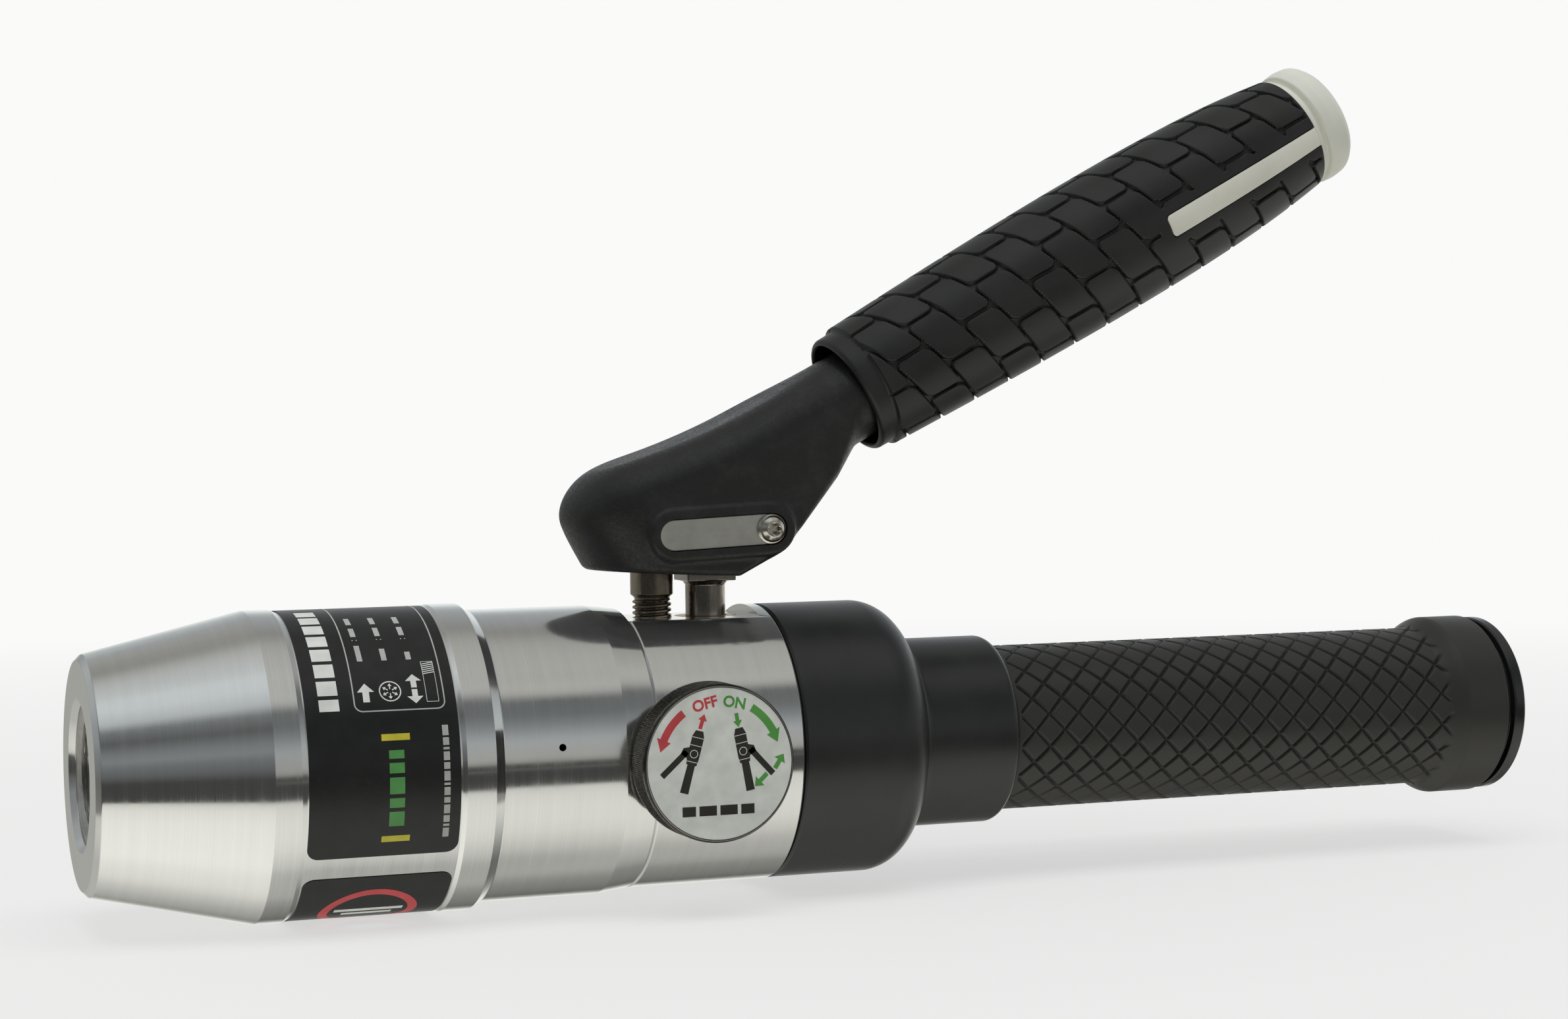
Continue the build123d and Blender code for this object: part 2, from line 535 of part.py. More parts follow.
with BuildPart() as lever_head:
    top_end = LIP + ALONG * -2 + Vector(-ALONG.Z, 0, ALONG.X) * NECK_RISE
    low_end = LIP + ALONG * -2 - Vector(-ALONG.Z, 0, ALONG.X) * NECK_RISE
    with BuildSketch(Plane.XZ):
        Polygon((101.1, 59.2), (112.8, 39.9), (142.2, 38.3), (151.9, 43.5),
                (low_end.X, low_end.Z), (top_end.X, top_end.Z), (137.5, 70.9))
        fillet(vertices().sort_by(Axis.X)[0], 10.8)
    extrude(amount=HEAD_HALF, both=True)
    with BuildSketch(Plane.XY.offset(30)):
        Polygon((106.6, -HEAD_HALF), (153.0, -HEAD_HALF), (172.0, -NECK_HALF),
                (190.0, -NECK_HALF), (190.0, NECK_HALF), (172.0, NECK_HALF),
                (153.0, HEAD_HALF), (106.6, HEAD_HALF))
        fillet(vertices().sort_by(Axis.X)[:2], HEAD_HALF - 0.2)
    extrude(amount=70, mode=Mode.INTERSECT)
    # Neck
    with BuildSketch(across_lever(-6.0)):
        Ellipse(NECK_HALF, NECK_RISE)
    extrude(amount=NECK_STOP + 6.0)
    # Raised rim round the pin plate
    stadium(POST_X, FULCRUM_Z, PLATE_SCREW.X, PLATE_SCREW.Z, 5.2, -HEAD_HALF - 0.5, 3.0)
    # Channel between the cheeks, for the post and the plunger head
    with BuildSketch(Plane.XZ):
        Polygon((119.5, 30.0), (159.0, 31.1), (152.6, 42.2), (143.8, 57.5), (142.0, 58.5),
                (119.5, 58.5))
    extrude(amount=CHANNEL_HALF, both=True, mode=Mode.SUBTRACT)
    # Seat of the pin plate, and the holes of the pins and the screw
    stadium(POST_X, FULCRUM_Z, PLATE_SCREW.X, PLATE_SCREW.Z, 3.4 + 0.1, -20.0,
            20.0 + PIN_PLATE_FACE + PIN_PLATE_THICK, Mode.SUBTRACT)
    bore(FULCRUM_AXIS, -16.0, PIN_END + 0.1, FULCRUM_PIN_R + SEAT)
    bore(PLUNGER_PIN_AXIS, -16.0, PIN_END + 0.1, PLUNGER_PIN_R + SEAT)
    bore(PLATE_SCREW_AXIS, 7.0, 16.0, 1.5 + SEAT)
    # Socket of the tube
    bore(LEVER_AXIS, -25.1, NECK_STOP + 1, LEVER_TUBE_R + SEAT)

with BuildPart() as fulcrum_pin:
    rod(FULCRUM_AXIS, PIN_PLATE_FACE + PIN_PLATE_THICK + 0.05, PIN_END, FULCRUM_PIN_R)
    chamfer(edges().filter_by(GeomType.CIRCLE), 0.4)

with BuildPart() as plunger_pin:
    rod(PLUNGER_PIN_AXIS, PIN_PLATE_FACE + PIN_PLATE_THICK + 0.05, PIN_END, PLUNGER_PIN_R)
    chamfer(edges().filter_by(GeomType.CIRCLE), 0.4)

with BuildPart() as pin_plate:
    stadium(POST_X, FULCRUM_Z, PLATE_SCREW.X, PLATE_SCREW.Z, 3.4, PIN_PLATE_FACE,
            PIN_PLATE_THICK)
    bore(PLATE_SCREW_AXIS, 15.0, 18.0, 1.6)

with BuildPart() as plate_screw:
    face = -PIN_PLATE_FACE
    turned([
        (7.3, 0), (7.3, 1.0), (7.8, 1.5), (face + 0.02, 1.5), (face + 0.02, 3.4),
        (face + 0.45, 3.4), (face + 0.75, 2.75), (face + 1.3, 2.45), (face + 1.75, 1.8),
        (face + 1.9, 0),
    ], PLATE_SCREW_AXIS)
    with BuildSketch(Plane.XZ.offset(face + 1.9)):
        with Locations((PLATE_SCREW.X, PLATE_SCREW.Z)):
            Circle(1.12)
            with PolarLocations(1.08, 6):
                Circle(0.33)
    extrude(amount=-1.3, mode=Mode.SUBTRACT)

with BuildPart() as lever_tube:
    sleeve(LEVER_AXIS, -25.0, 128.0, LEVER_TUBE_R - 2.0, LEVER_TUBE_R)

INLAY_START = 84.7
INLAY_ANGLE = 6.0       # degrees below the side of the grip
INLAY_WIDTH = 5.4


def inlay_plane(side):
    """Plane square to the grip's surface at the strip, on side -1 (near) or +1."""
    up = Vector(-ALONG.Z, 0, ALONG.X)
    out = Vector(0, side, 0) * cos(radians(INLAY_ANGLE)) - up * sin(radians(INLAY_ANGLE))
    return Plane(origin=LIP + ALONG * INLAY_START, x_dir=ALONG, z_dir=out)


def inlay_bar(side, grow, mode):
    """Bar with a rounded lower end that reaches out through the grip's surface."""
    length = GRIP_LENGTH - INLAY_START
    with BuildSketch(inlay_plane(side).offset(11.6 - grow)) as bar:
        with Locations(((length + 4) / 2, 0)):
            RectangleRounded(length + 4 + 2 * grow, INLAY_WIDTH + 2 * grow, 1.0)
    extrude(bar.sketch, amount=8.0, mode=mode)


def grip_section(grow):
    """Half section of the barrel-shaped sleeve, larger all over by grow."""
    with BuildLine() as line:
        barrel = Spline((2.0, 14.9 + grow), (29.6, 16.15 + grow), (67.0, 17.1 + grow),
                        (90.0, 17.1 + grow), (110.0, 16.45 + grow), (GRIP_LENGTH, 14.2 + grow))
        Polyline(barrel @ 1, (GRIP_LENGTH, LEVER_TUBE_R + SEAT), (9.0, LEVER_TUBE_R + SEAT),
                 (9.0, 12.75), (0.0, 12.75), (0.0, 13.3 + grow), barrel @ 0)
    return line


with BuildPart() as lever_grip:
    with BuildSketch(profile_plane(LEVER_AXIS)) as section:
        make_face(grip_section(0).edges())
    revolve(axis=LEVER_AXIS)
    for side in (-1, 1):
        inlay_bar(side, SEAT, Mode.SUBTRACT)

with BuildPart() as grip_inlays:
    with BuildSketch(profile_plane(LEVER_AXIS)) as section:
        make_face(grip_section(0.25).edges())
    revolve(axis=LEVER_AXIS)
    bars = [inlay_plane(side).offset(11.6) for side in (-1, 1)]
    with BuildSketch(*bars) as strips:
        with Locations(((GRIP_LENGTH - INLAY_START) / 2, 0)):
            RectangleRounded(GRIP_LENGTH - INLAY_START, INLAY_WIDTH, 1.0)
    extrude(strips.sketch, amount=8.0, mode=Mode.INTERSECT)

with BuildPart() as lever_end_cap:
    turned([
        (112.0, 0), (112.0, 6.0), (112.6, 6.45), (GRIP_LENGTH + 0.1, 6.45),
        (GRIP_LENGTH + 0.1, 13.6), (133.4, 14.4), (138.8, 14.4), (140.6, 13.4),
        (141.3, 11.6), (141.6, 0),
    ], LEVER_AXIS)

# --- Files ---------------------------------------------------------------------------------------
pieces = {
    "cylinder_body": cylinder_body, "rod_wiper": rod_wiper, "rod_bush": rod_bush,
    "rod_seal": rod_seal, "ram": ram, "piston": piston, "piston_seal": piston_seal,
    "piston_guide_ring": piston_guide_ring, "piston_nut": piston_nut,
    "return_spring": return_spring, "cylinder_oring": cylinder_oring,
    "port_oring": port_oring, "block_screws": block_screws, "data_label": data_label,
    "warning_label": warning_label, "pump_block": pump_block, "fulcrum_post": fulcrum_post,
    "plunger": plunger, "plunger_bush": plunger_bush, "plunger_seal": plunger_seal,
    "plunger_spring": plunger_spring, "inlet_cage": inlet_cage, "inlet_ball": inlet_ball,
    "outlet_ball": outlet_ball, "outlet_spring": outlet_spring, "outlet_plug": outlet_plug,
    "relief_ball": relief_ball, "relief_spring": relief_spring, "relief_screw": relief_screw,
    "release_ball": release_ball, "spindle_oring": spindle_oring,
    "spindle_gland": spindle_gland, "release_spindle": release_spindle,
    "release_knob": release_knob, "knob_screw": knob_screw, "dial_disc": dial_disc,
    "rear_cover": rear_cover, "cover_oring": cover_oring, "suction_screen": suction_screen,
    "reservoir_tube": reservoir_tube, "oil_bladder": oil_bladder,
    "bladder_clamp": bladder_clamp, "end_plug": end_plug, "end_plug_oring": end_plug_oring,
    "rear_grip": rear_grip, "lever_head": lever_head, "fulcrum_pin": fulcrum_pin,
    "plunger_pin": plunger_pin, "pin_plate": pin_plate, "plate_screw": plate_screw,
    "lever_tube": lever_tube, "lever_grip": lever_grip, "grip_inlays": grip_inlays,
    "lever_end_cap": lever_end_cap,
}
os.makedirs("parts", exist_ok=True)
for name, piece in pieces.items():
    piece.part.label = name
    export_step(piece.part, f"parts/{name}.step")
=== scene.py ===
import json
import math
import bmesh
import bpy
import numpy as np
from mathutils import Matrix, Vector


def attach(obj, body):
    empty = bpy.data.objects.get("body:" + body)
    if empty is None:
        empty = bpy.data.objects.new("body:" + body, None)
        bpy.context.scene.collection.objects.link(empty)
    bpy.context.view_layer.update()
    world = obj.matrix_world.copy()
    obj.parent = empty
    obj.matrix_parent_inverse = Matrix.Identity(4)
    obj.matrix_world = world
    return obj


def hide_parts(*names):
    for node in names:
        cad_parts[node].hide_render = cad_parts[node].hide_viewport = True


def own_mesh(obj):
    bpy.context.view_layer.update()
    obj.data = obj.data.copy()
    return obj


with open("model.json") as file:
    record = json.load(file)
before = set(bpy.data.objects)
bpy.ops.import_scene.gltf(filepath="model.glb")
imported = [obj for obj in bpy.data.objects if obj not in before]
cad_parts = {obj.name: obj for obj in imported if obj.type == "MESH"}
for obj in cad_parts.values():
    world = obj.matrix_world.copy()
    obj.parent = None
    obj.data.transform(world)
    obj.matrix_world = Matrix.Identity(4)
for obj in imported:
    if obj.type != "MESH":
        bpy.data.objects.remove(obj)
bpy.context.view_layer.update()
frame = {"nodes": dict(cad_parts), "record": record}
NODES = frame["nodes"]
SLOT_OF = {s["node"]: s["material_slot"] for s in frame["record"]["subparts"]}
MM = 0.001

# ------------------------------------------------------------------ frames of reference
# Every shape below is drawn in millimetres in a frame: a point on its axis, the axis, and two
# directions across it. Angles are measured from the first direction towards the second.


class Frame:
    def __init__(self, origin, along, first, second):
        self.o, self.a, self.e1, self.e2 = (np.array(v, float)
                                            for v in (origin, along, first, second))

    def at(self, along, radius, phi):
        """Points in metres for arrays of distance along, radius and angle in radians."""
        return self.flat(along, radius * np.cos(phi), radius * np.sin(phi))

    def flat(self, along, x, y):
        """Points in metres for distance along and two coordinates across the axis."""
        along, x, y = (v[..., None] for v in np.broadcast_arrays(along, x, y))
        return MM * (self.o + along * self.a + x * self.e1 + y * self.e2)


def across(x, z):
    """Frame across the tool, from its axis plane towards the side seen in the photograph."""
    return Frame((x, 0, z), (0, -1, 0), (1, 0, 0), (0, 0, 1))


def upright(x):
    return Frame((x, 0, 0), (0, 0, 1), (1, 0, 0), (0, 1, 0))


LEVER_TILT = math.radians(28.1)
C_TILT, S_TILT = math.cos(LEVER_TILT), math.sin(LEVER_TILT)
FULCRUM = (127.1, 47.7)
PLUNGER = (139.8, 48.3)
PLATE_SCREW = (149.7, 48.65)
KNOB_X = 128.4
LAND_R = 33.1
PALE = (0.955, 0.955, 0.95)
TOOL = Frame((0, 0, 0), (1, 0, 0), (0, -1, 0), (0, 0, 1))
POST = upright(FULCRUM[0])
PUMP = upright(PLUNGER[0])
SPINDLE = across(KNOB_X, 0)
LEVER = Frame((174.5, 0, 78.0), (C_TILT, 0, S_TILT), (0, -1, 0), (-S_TILT, 0, C_TILT))
SCREW = across(*PLATE_SCREW)


# ------------------------------------------------------------------ mesh helpers
def link(name, mesh):
    piece = bpy.data.objects.new(name, mesh)
    bpy.context.scene.collection.objects.link(piece)
    return piece


def tidy(mesh, angle=32, weld=1e-8):
    """Welds doubles, turns the faces outwards and smooths all but the sharp edges."""
    bm = bmesh.new()
    bm.from_mesh(mesh)
    bmesh.ops.remove_doubles(bm, verts=bm.verts, dist=weld)
    bmesh.ops.recalc_face_normals(bm, faces=bm.faces)
    bm.to_mesh(mesh)
    bm.free()
    mesh.shade_smooth()
    mesh.set_sharp_from_angle(angle=math.radians(angle))


def applied(piece):
    """Puts the result of the piece's modifiers into its mesh."""
    graph = bpy.context.evaluated_depsgraph_get()
    mesh = bpy.data.meshes.new_from_object(piece.evaluated_get(graph))
    old = piece.data
    piece.modifiers.clear()
    piece.data = mesh
    bpy.data.meshes.remove(old)
    return piece


def modify(piece, kind, **settings):
    modifier = piece.modifiers.new(kind.lower(), kind)
    for key, value in settings.items():
        setattr(modifier, key, value)
    return applied(piece)


def even(piece, angle=32):
    """Corner normals weighted by face area, so that flat and round faces stay clean."""
    piece.data.shade_smooth()
    piece.data.set_sharp_from_angle(angle=math.radians(angle))
    return modify(piece, "WEIGHTED_NORMAL", weight=60, keep_sharp=True)


def cut(piece, cutter, operation="DIFFERENCE"):
    modify(piece, "BOOLEAN", operation=operation, object=cutter, solver="EXACT")
    bpy.data.objects.remove(cutter)
    return piece


def rounded(outline, closed=True):
    """Turns (x, y, fillet radius) corners into arcs. Corners without a radius stay sharp."""
    points = []
    count = len(outline)
    for i, corner in enumerate(outline):
        p = np.array(corner[:2], float)
        r = corner[2] if len(corner) > 2 else 0
        if r == 0 or (not closed and i in (0, count - 1)):
            points.append(tuple(p))
            continue
        before = np.array(outline[i - 1][:2], float) - p
        after = np.array(outline[(i + 1) % count][:2], float) - p
        d1, d2 = before / np.linalg.norm(before), after / np.linalg.norm(after)
        half = math.acos(max(-1, min(1, float(d1 @ d2)))) / 2
        if half > math.radians(89.5):
            points.append(tuple(p))
            continue
        reach = min(r / math.tan(half), 0.495 * np.linalg.norm(before),
                    0.495 * np.linalg.norm(after))
        r = reach * math.tan(half)
        middle = (d1 + d2) / np.linalg.norm(d1 + d2)
        centre = p + middle * r / math.sin(half)
        start, end = p + d1 * reach - centre, p + d2 * reach - centre
        turn = math.atan2(start[0] * end[1] - start[1] * end[0], float(start @ end))
        steps = max(3, int(abs(turn) / math.radians(14 if r < 2 else 6)) + 1)
        for k in range(steps + 1):
            t = turn * k / steps
            points.append((centre[0] + start[0] * math.cos(t) - start[1] * math.sin(t),
                           centre[1] + start[0] * math.sin(t) + start[1] * math.cos(t)))
    return points


def built(name, verts, faces, angle=32):
    """Object from points in metres and faces, welded and smoothed."""
    mesh = bpy.data.meshes.new(name)
    mesh.from_pydata(np.asarray(verts).reshape(-1, 3).tolist(), [], faces)
    tidy(mesh, angle)
    return link(name, mesh)


def ring_faces(index):
    """Four-sided faces between neighbouring rings of vertex numbers."""
    below, above = index[:-1], index[1:]
    quads = np.stack([below, above, np.roll(above, -1, 1), np.roll(below, -1, 1)], -1)
    return quads.reshape(-1, 4).tolist()


def skin(name, frame_of, along, radius, phi, closed=True, angle=32):
    """Surface of rings, with a station for each ring and a radius for each point on it."""
    verts = frame_of.at(np.asarray(along, float)[:, None], radius, phi[None, :])
    index = np.arange(radius.size).reshape(radius.shape)
    if closed:
        index = np.vstack([index, index[:1]])
    return built(name, verts, ring_faces(index), angle)


def circle(turns):
    return np.arange(turns) * 2 * math.pi / turns


def lathe(name, frame_of, outline, turns=192, closed=True, angle=32):
    """Turns an outline of (along, radius, fillet) corners about the frame's axis."""
    points = np.array(rounded(outline, closed))
    radius = np.repeat(points[:, 1:2], turns, 1)
    piece = skin(name, frame_of, points[:, 0], radius, circle(turns), closed, angle)
    return even(piece, angle)


def bevel(piece, width, segments, angle):
    return modify(piece, "BEVEL", width=width * MM, segments=segments, limit_method="ANGLE",
                  angle_limit=math.radians(angle))


def prism(name, frame_of, outline, low, high, bevel_width=0.0, segments=2):
    """Extrudes a flat outline along the frame's axis, with small rounded edges."""
    points = np.array(rounded(outline))
    n = len(points)
    verts = [frame_of.flat(end, points[:, 0], points[:, 1]) for end in (low, high)]
    faces = [list(range(n)), list(range(2 * n - 1, n - 1, -1))]
    faces += [[i, (i + 1) % n, n + (i + 1) % n, n + i] for i in range(n)]
    piece = built(name, np.concatenate(verts), faces)
    if bevel_width:
        bevel(piece, bevel_width, segments, 35)
    return piece


def rod(name, frame_of, low, high, radius, turns=48):
    outline = [(radius * math.cos(t), radius * math.sin(t)) for t in circle(turns)]
    return prism(name, frame_of, outline, low, high)


def layered(start, along, radius, end):
    """Stations and radii of plain turned ends round a middle part with its own relief."""
    ring = np.ones((1, radius.shape[1]))
    before, after = (np.array(rounded(o, False)).reshape(-1, 2) for o in (start, end))
    return (np.concatenate([before[:, 0], along, after[:, 0]]),
            np.concatenate([before[:, 1:] * ring, radius, after[:, 1:] * ring]))


def thread(along, phi, pitch):
    """Height of a helical thread, from 0 in its root to 1 on its crest."""
    turn = ((along[:, None] - pitch * phi[None, :] / (2 * math.pi)) / pitch) % 1.0
    return 1 - np.abs(2 * turn - 1)


def joined(name, pieces):
    """One object from several."""
    bm = bmesh.new()
    for piece in pieces:
        bm.from_mesh(piece.data)
        bpy.data.objects.remove(piece)
    mesh = bpy.data.meshes.new(name)
    bm.to_mesh(mesh)
    bm.free()
    mesh.shade_smooth()
    mesh.set_sharp_from_angle(angle=math.radians(32))
    return link(name, mesh)


def stadium(a, b, radius, steps=20):
    """Outline of a rounded bar between two centres."""
    a, b = np.array(a, float), np.array(b, float)
    angle = math.atan2(b[1] - a[1], b[0] - a[0])
    points = []
    for centre, start in ((b, angle - math.pi / 2), (a, angle + math.pi / 2)):
        for k in range(steps + 1):
            t = start + math.pi * k / steps
            points.append((centre[0] + radius * math.cos(t), centre[1] + radius * math.sin(t)))
    return points


def net_surface(name, field, low, step, angle=40):
    """Closed surface where a sampled field changes sign, one vertex per mixed cell."""
    corners = np.array([(i, j, k) for i in (0, 1) for j in (0, 1) for k in (0, 1)])
    size = np.array(field.shape) - 1
    at_corner = [field[tuple(slice(d, n + d) for d, n in zip(c, size))] for c in corners]
    inside = sum((v < 0).astype(int) for v in at_corner)
    mixed = (inside > 0) & (inside < 8)
    number = -np.ones(tuple(size), int)
    number[mixed] = np.arange(mixed.sum())
    values = [v[mixed] for v in at_corner]
    total, crossings = np.zeros((mixed.sum(), 3)), np.zeros(mixed.sum())
    for a in range(8):
        for b in range(a + 1, 8):
            if abs(corners[a] - corners[b]).sum() != 1:
                continue
            change = (values[a] < 0) != (values[b] < 0)
            t = np.where(change, values[a] / np.where(change, values[a] - values[b], 1), 0)
            crossing = corners[a] + t[:, None] * (corners[b] - corners[a])
            total += np.where(change[:, None], crossing, 0)
            crossings += change
    points = (np.argwhere(mixed) + total / crossings[:, None]) * step + np.array(low, float)
    faces = []
    for axis in range(3):
        one, two = [d for d in range(3) if d != axis]
        first = np.take(field, range(0, size[axis]), axis)
        second = np.take(field, range(1, size[axis] + 1), axis)
        spots = np.argwhere((first < 0) != (second < 0))
        spots = spots[(spots[:, one] > 0) & (spots[:, two] > 0)
                      & (spots[:, one] < size[one]) & (spots[:, two] < size[two])]
        ring = []
        for d1, d2 in ((1, 1), (0, 1), (0, 0), (1, 0)):
            cell = spots.copy()
            cell[:, one] -= d1
            cell[:, two] -= d2
            ring.append(number[tuple(cell.T)])
        faces += np.stack(ring, 1).tolist()
    return built(name, points * MM, faces, angle)


def round_max(a, b, radius):
    """Intersection of two distance fields with a rounded edge."""
    return (np.hypot(np.maximum(a + radius, 0), np.maximum(b + radius, 0))
            + np.minimum(np.maximum(a, b) + radius, 0) - radius)


def soft_min(a, b, reach):
    """Union of two distance fields with a soft fillet."""
    h = np.clip(0.5 + 0.5 * (b - a) / reach, 0, 1)
    return b + (a - b) * h - reach * h * (1 - h)


def beyond_line(x, z, start, end):
    """Distance past a line, positive on its left when going from start to end."""
    d = np.array(end, float) - np.array(start, float)
    d /= np.linalg.norm(d)
    return (z - start[1]) * d[0] - (x - start[0]) * d[1]


def blend01(x):
    x = np.clip(x, 0, 1)
    return x * x * (3 - 2 * x)


# ------------------------------------------------------------------ materials
class Nodes:
    """Builds a node tree. A value may be a number, a colour or another node's output."""

    def __init__(self, tree, coordinates):
        self.tree = tree
        self.place = self.node("TexCoord").outputs[coordinates]

    def node(self, kind, **settings):
        made = self.tree.nodes.new("ShaderNode" + kind)
        for key, value in settings.items():
            setattr(made, key, value)
        return made

    def wire(self, value, socket):
        if isinstance(value, bpy.types.NodeSocket):
            self.tree.links.new(value, socket)
        else:
            socket.default_value = value

    def fill(self, node, **values):
        for key, value in values.items():
            self.wire(value, node.inputs[key.replace("_", " ")])
        return node.outputs[0]

    def math(self, operation, a, b=0.0):
        n = self.node("Math", operation=operation)
        self.wire(a, n.inputs[0])
        self.wire(b, n.inputs[1])
        return n.outputs[0]

    def part(self, axis):
        n = self.node("SeparateXYZ")
        self.wire(self.place, n.inputs[0])
        return n.outputs[axis]

    def remap(self, value, low, high, to_low=0.0, to_high=1.0):
        return self.fill(self.node("MapRange"), Value=value, From_Min=low, From_Max=high,
                         To_Min=to_low, To_Max=to_high)

    def mix(self, factor, a, b):
        n = self.node("Mix", data_type="RGBA")
        self.wire(factor, n.inputs[0])
        for value, socket in ((a, n.inputs[6]), (b, n.inputs[7])):
            self.wire((*value, 1) if isinstance(value, tuple) else value, socket)
        return n.outputs[2]


class Look(Nodes):
    """A procedural material. Positions are in metres in the row frame."""

    def __init__(self, name, color=(0.5, 0.5, 0.5), rough=0.5, metal=0.0, **sockets):
        self.mat = bpy.data.materials.new(name)
        self.mat.use_nodes = True
        super().__init__(self.mat.node_tree, "Object")
        self.shader = self.tree.nodes["Principled BSDF"]
        self.fill(self.shader, Base_Color=(*color, 1), Roughness=rough, Metallic=metal, **sockets)
        self.height = None

    def noise(self, scale, detail=2.0, rough=0.5, where=None):
        return self.fill(self.node("TexNoise"), Vector=where or self.place, Scale=scale,
                         Detail=detail, Roughness=rough)

    def stretched(self, scale, rotation=(0, 0, 0)):
        return self.fill(self.node("Mapping"), Vector=self.place, Rotation=rotation, Scale=scale)

    def paint(self, value, low, high, first, second, share=1.0):
        """Base colour from first to second as a value goes from low to high."""
        self.fill(self.shader, Base_Color=self.mix(self.remap(value, low, high, 0, share),
                                                   first, second))

    def roughen(self, base, *layers):
        """Roughness as a base plus layers of (value, low, high, least, most)."""
        for layer in layers:
            base = self.math("ADD", base, self.remap(*layer))
        self.fill(self.shader, Roughness=base)

    def bump(self, height, distance):
        """Adds a relief of this height in metres on top of the reliefs before it."""
        n = self.node("Bump")
        self.fill(n, Height=height, Distance=distance, Strength=1.0)
        if self.height is not None:
            self.fill(n, Normal=self.height)
        self.height = n.outputs[0]
        self.fill(self.shader, Normal=self.height)

    def vector(self, operation, value, other=None):
        n = self.node("VectorMath", operation=operation)
        self.wire(value, n.inputs[0])
        if other:
            self.wire(other, n.inputs[1])
        return n.outputs["Value" if operation == "LENGTH" else "Vector"]

    def away(self, centre, mask):
        """Distance from the axis through centre, whose own direction is masked out."""
        shifted = self.vector("SUBTRACT", self.place, centre)
        return self.vector("LENGTH", self.vector("MULTIPLY", shifted, mask))

    def rings(self, scale, detail=3.0):
        """Noise that changes only along X and outwards: the marks of a lathe."""
        total = self.math("ADD", self.part("X"), self.away((0, 0, 0), (0, 1, 1)))
        return self.fill(self.node("TexNoise", noise_dimensions="1D"), W=total, Scale=scale,
                         Detail=detail)


def shade(color, factor, plus=0.0):
    return tuple(min(1, c * factor + plus) for c in color)


def turned_metal(name, color, rough, grain=0.25):
    """Turned metal: circular marks, small smudges and a stretched highlight."""
    look = Look(name, color, rough, 0.94, Anisotropic=0.5, Anisotropic_Rotation=0.25)
    tangent = look.node("Tangent", direction_type="RADIAL", axis="X").outputs[0]
    look.fill(look.shader, Tangent=tangent)
    fine, wide = look.rings(5000), look.rings(420, 4.0)
    smudge = look.noise(60, 4.0, 0.6)
    marks = look.math("ADD", look.math("MULTIPLY", fine, 0.6), look.math("MULTIPLY", wide, 0.4))
    look.roughen(rough, (marks, 0.3, 0.7, -0.05, 0.05), (smudge, 0.35, 0.75, -0.02, 0.05))
    look.paint(marks, 0.25, 0.75, shade(color, 0.9), color)
    look.bump(fine, 4e-6 * grain)
    look.bump(wide, 2e-5 * grain)
    return look


def plain_steel(name, color, rough, direction=(40, 400, 400), stained=0.62):
    """Machined or drawn steel with fine lines and slight staining."""
    look = Look(name, color, rough, 1.0)
    lines = look.noise(14, 3.0, 0.6, look.stretched(direction))
    stain = look.noise(180, 4.0, 0.6)
    look.roughen(rough, (lines, 0.3, 0.7, -0.08, 0.08))
    look.paint(stain, 0.35, 0.7, color, shade(color, stained))
    look.bump(lines, 6e-6)
    return look


def moulded(name, color, rough, grain=0.16, depth=3e-5, tint=0.35):
    """Moulded rubber or plastic: fine grain, soft mottling and a little dust."""
    look = Look(name, color, rough, Specular_IOR_Level=0.42)
    skin_grain = look.noise(1000 / grain, 2.0, 0.6)
    broad = look.noise(90, 4.0, 0.55)
    dust = look.noise(700, 5.0, 0.7)
    tone = look.mix(look.remap(broad, 0.35, 0.7), color, shade(color, 1 + tint, 0.002))
    look.paint(dust, 0.66, 0.78, tone, shade(color, 1.25, 0.012), 0.6)
    look.roughen(rough, (broad, 0.3, 0.7, -0.05, 0.06), (skin_grain, 0.3, 0.7, -0.04, 0.04))
    look.bump(skin_grain, depth)
    return look


def coated(name, color, rough, grain=0.25, depth=1e-5):
    """Anodised or painted metal: satin film with very fine grain and faint turning marks."""
    look = Look(name, color, rough, 0.0, Specular_IOR_Level=0.5, Coat_Weight=0.25,
                Coat_Roughness=0.28)
    fine = look.noise(1000 / grain, 2.0, 0.6)
    lines = look.rings(2600)
    broad = look.noise(55, 4.0, 0.6)
    look.paint(broad, 0.35, 0.7, color, shade(color, 1.5, 0.002))
    look.roughen(rough, (lines, 0.3, 0.7, -0.05, 0.05), (broad, 0.3, 0.7, -0.03, 0.05))
    look.bump(fine, depth)
    look.bump(lines, 4e-6)
    return look


def casting(name, color, rough):
    """Black coated casting: pebbled skin with polished high spots."""
    look = Look(name, color, rough, 0.0, Specular_IOR_Level=0.5)
    pebble = look.noise(1500, 3.0, 0.6)
    lumps = look.noise(420, 3.0, 0.5)
    rub = look.noise(160, 5.0, 0.65)
    look.paint(rub, 0.5, 0.72, color, shade(color, 2.0, 0.004), 0.6)
    look.roughen(rough, (pebble, 0.35, 0.65, -0.09, 0.09), (rub, 0.35, 0.7, -0.02, 0.08))
    look.bump(pebble, 5e-5)
    look.bump(lumps, 6e-5)
    return look


def film(name, color, rough=0.34):
    """Printed plastic film or ink: even colour with slight unevenness and fine scratches."""
    look = Look(name, color, rough, Specular_IOR_Level=0.45)
    wave = look.noise(220, 2.0, 0.5)
    scratch = look.noise(30, 4.0, 0.7, look.stretched((30, 400, 60), (0.4, 0.2, 0.3)))
    look.paint(wave, 0.35, 0.7, color, shade(color, 1.18, 0.003))
    look.roughen(rough, (scratch, 0.35, 0.7, -0.05, 0.08))
    look.bump(wave, 1e-5)
    return look


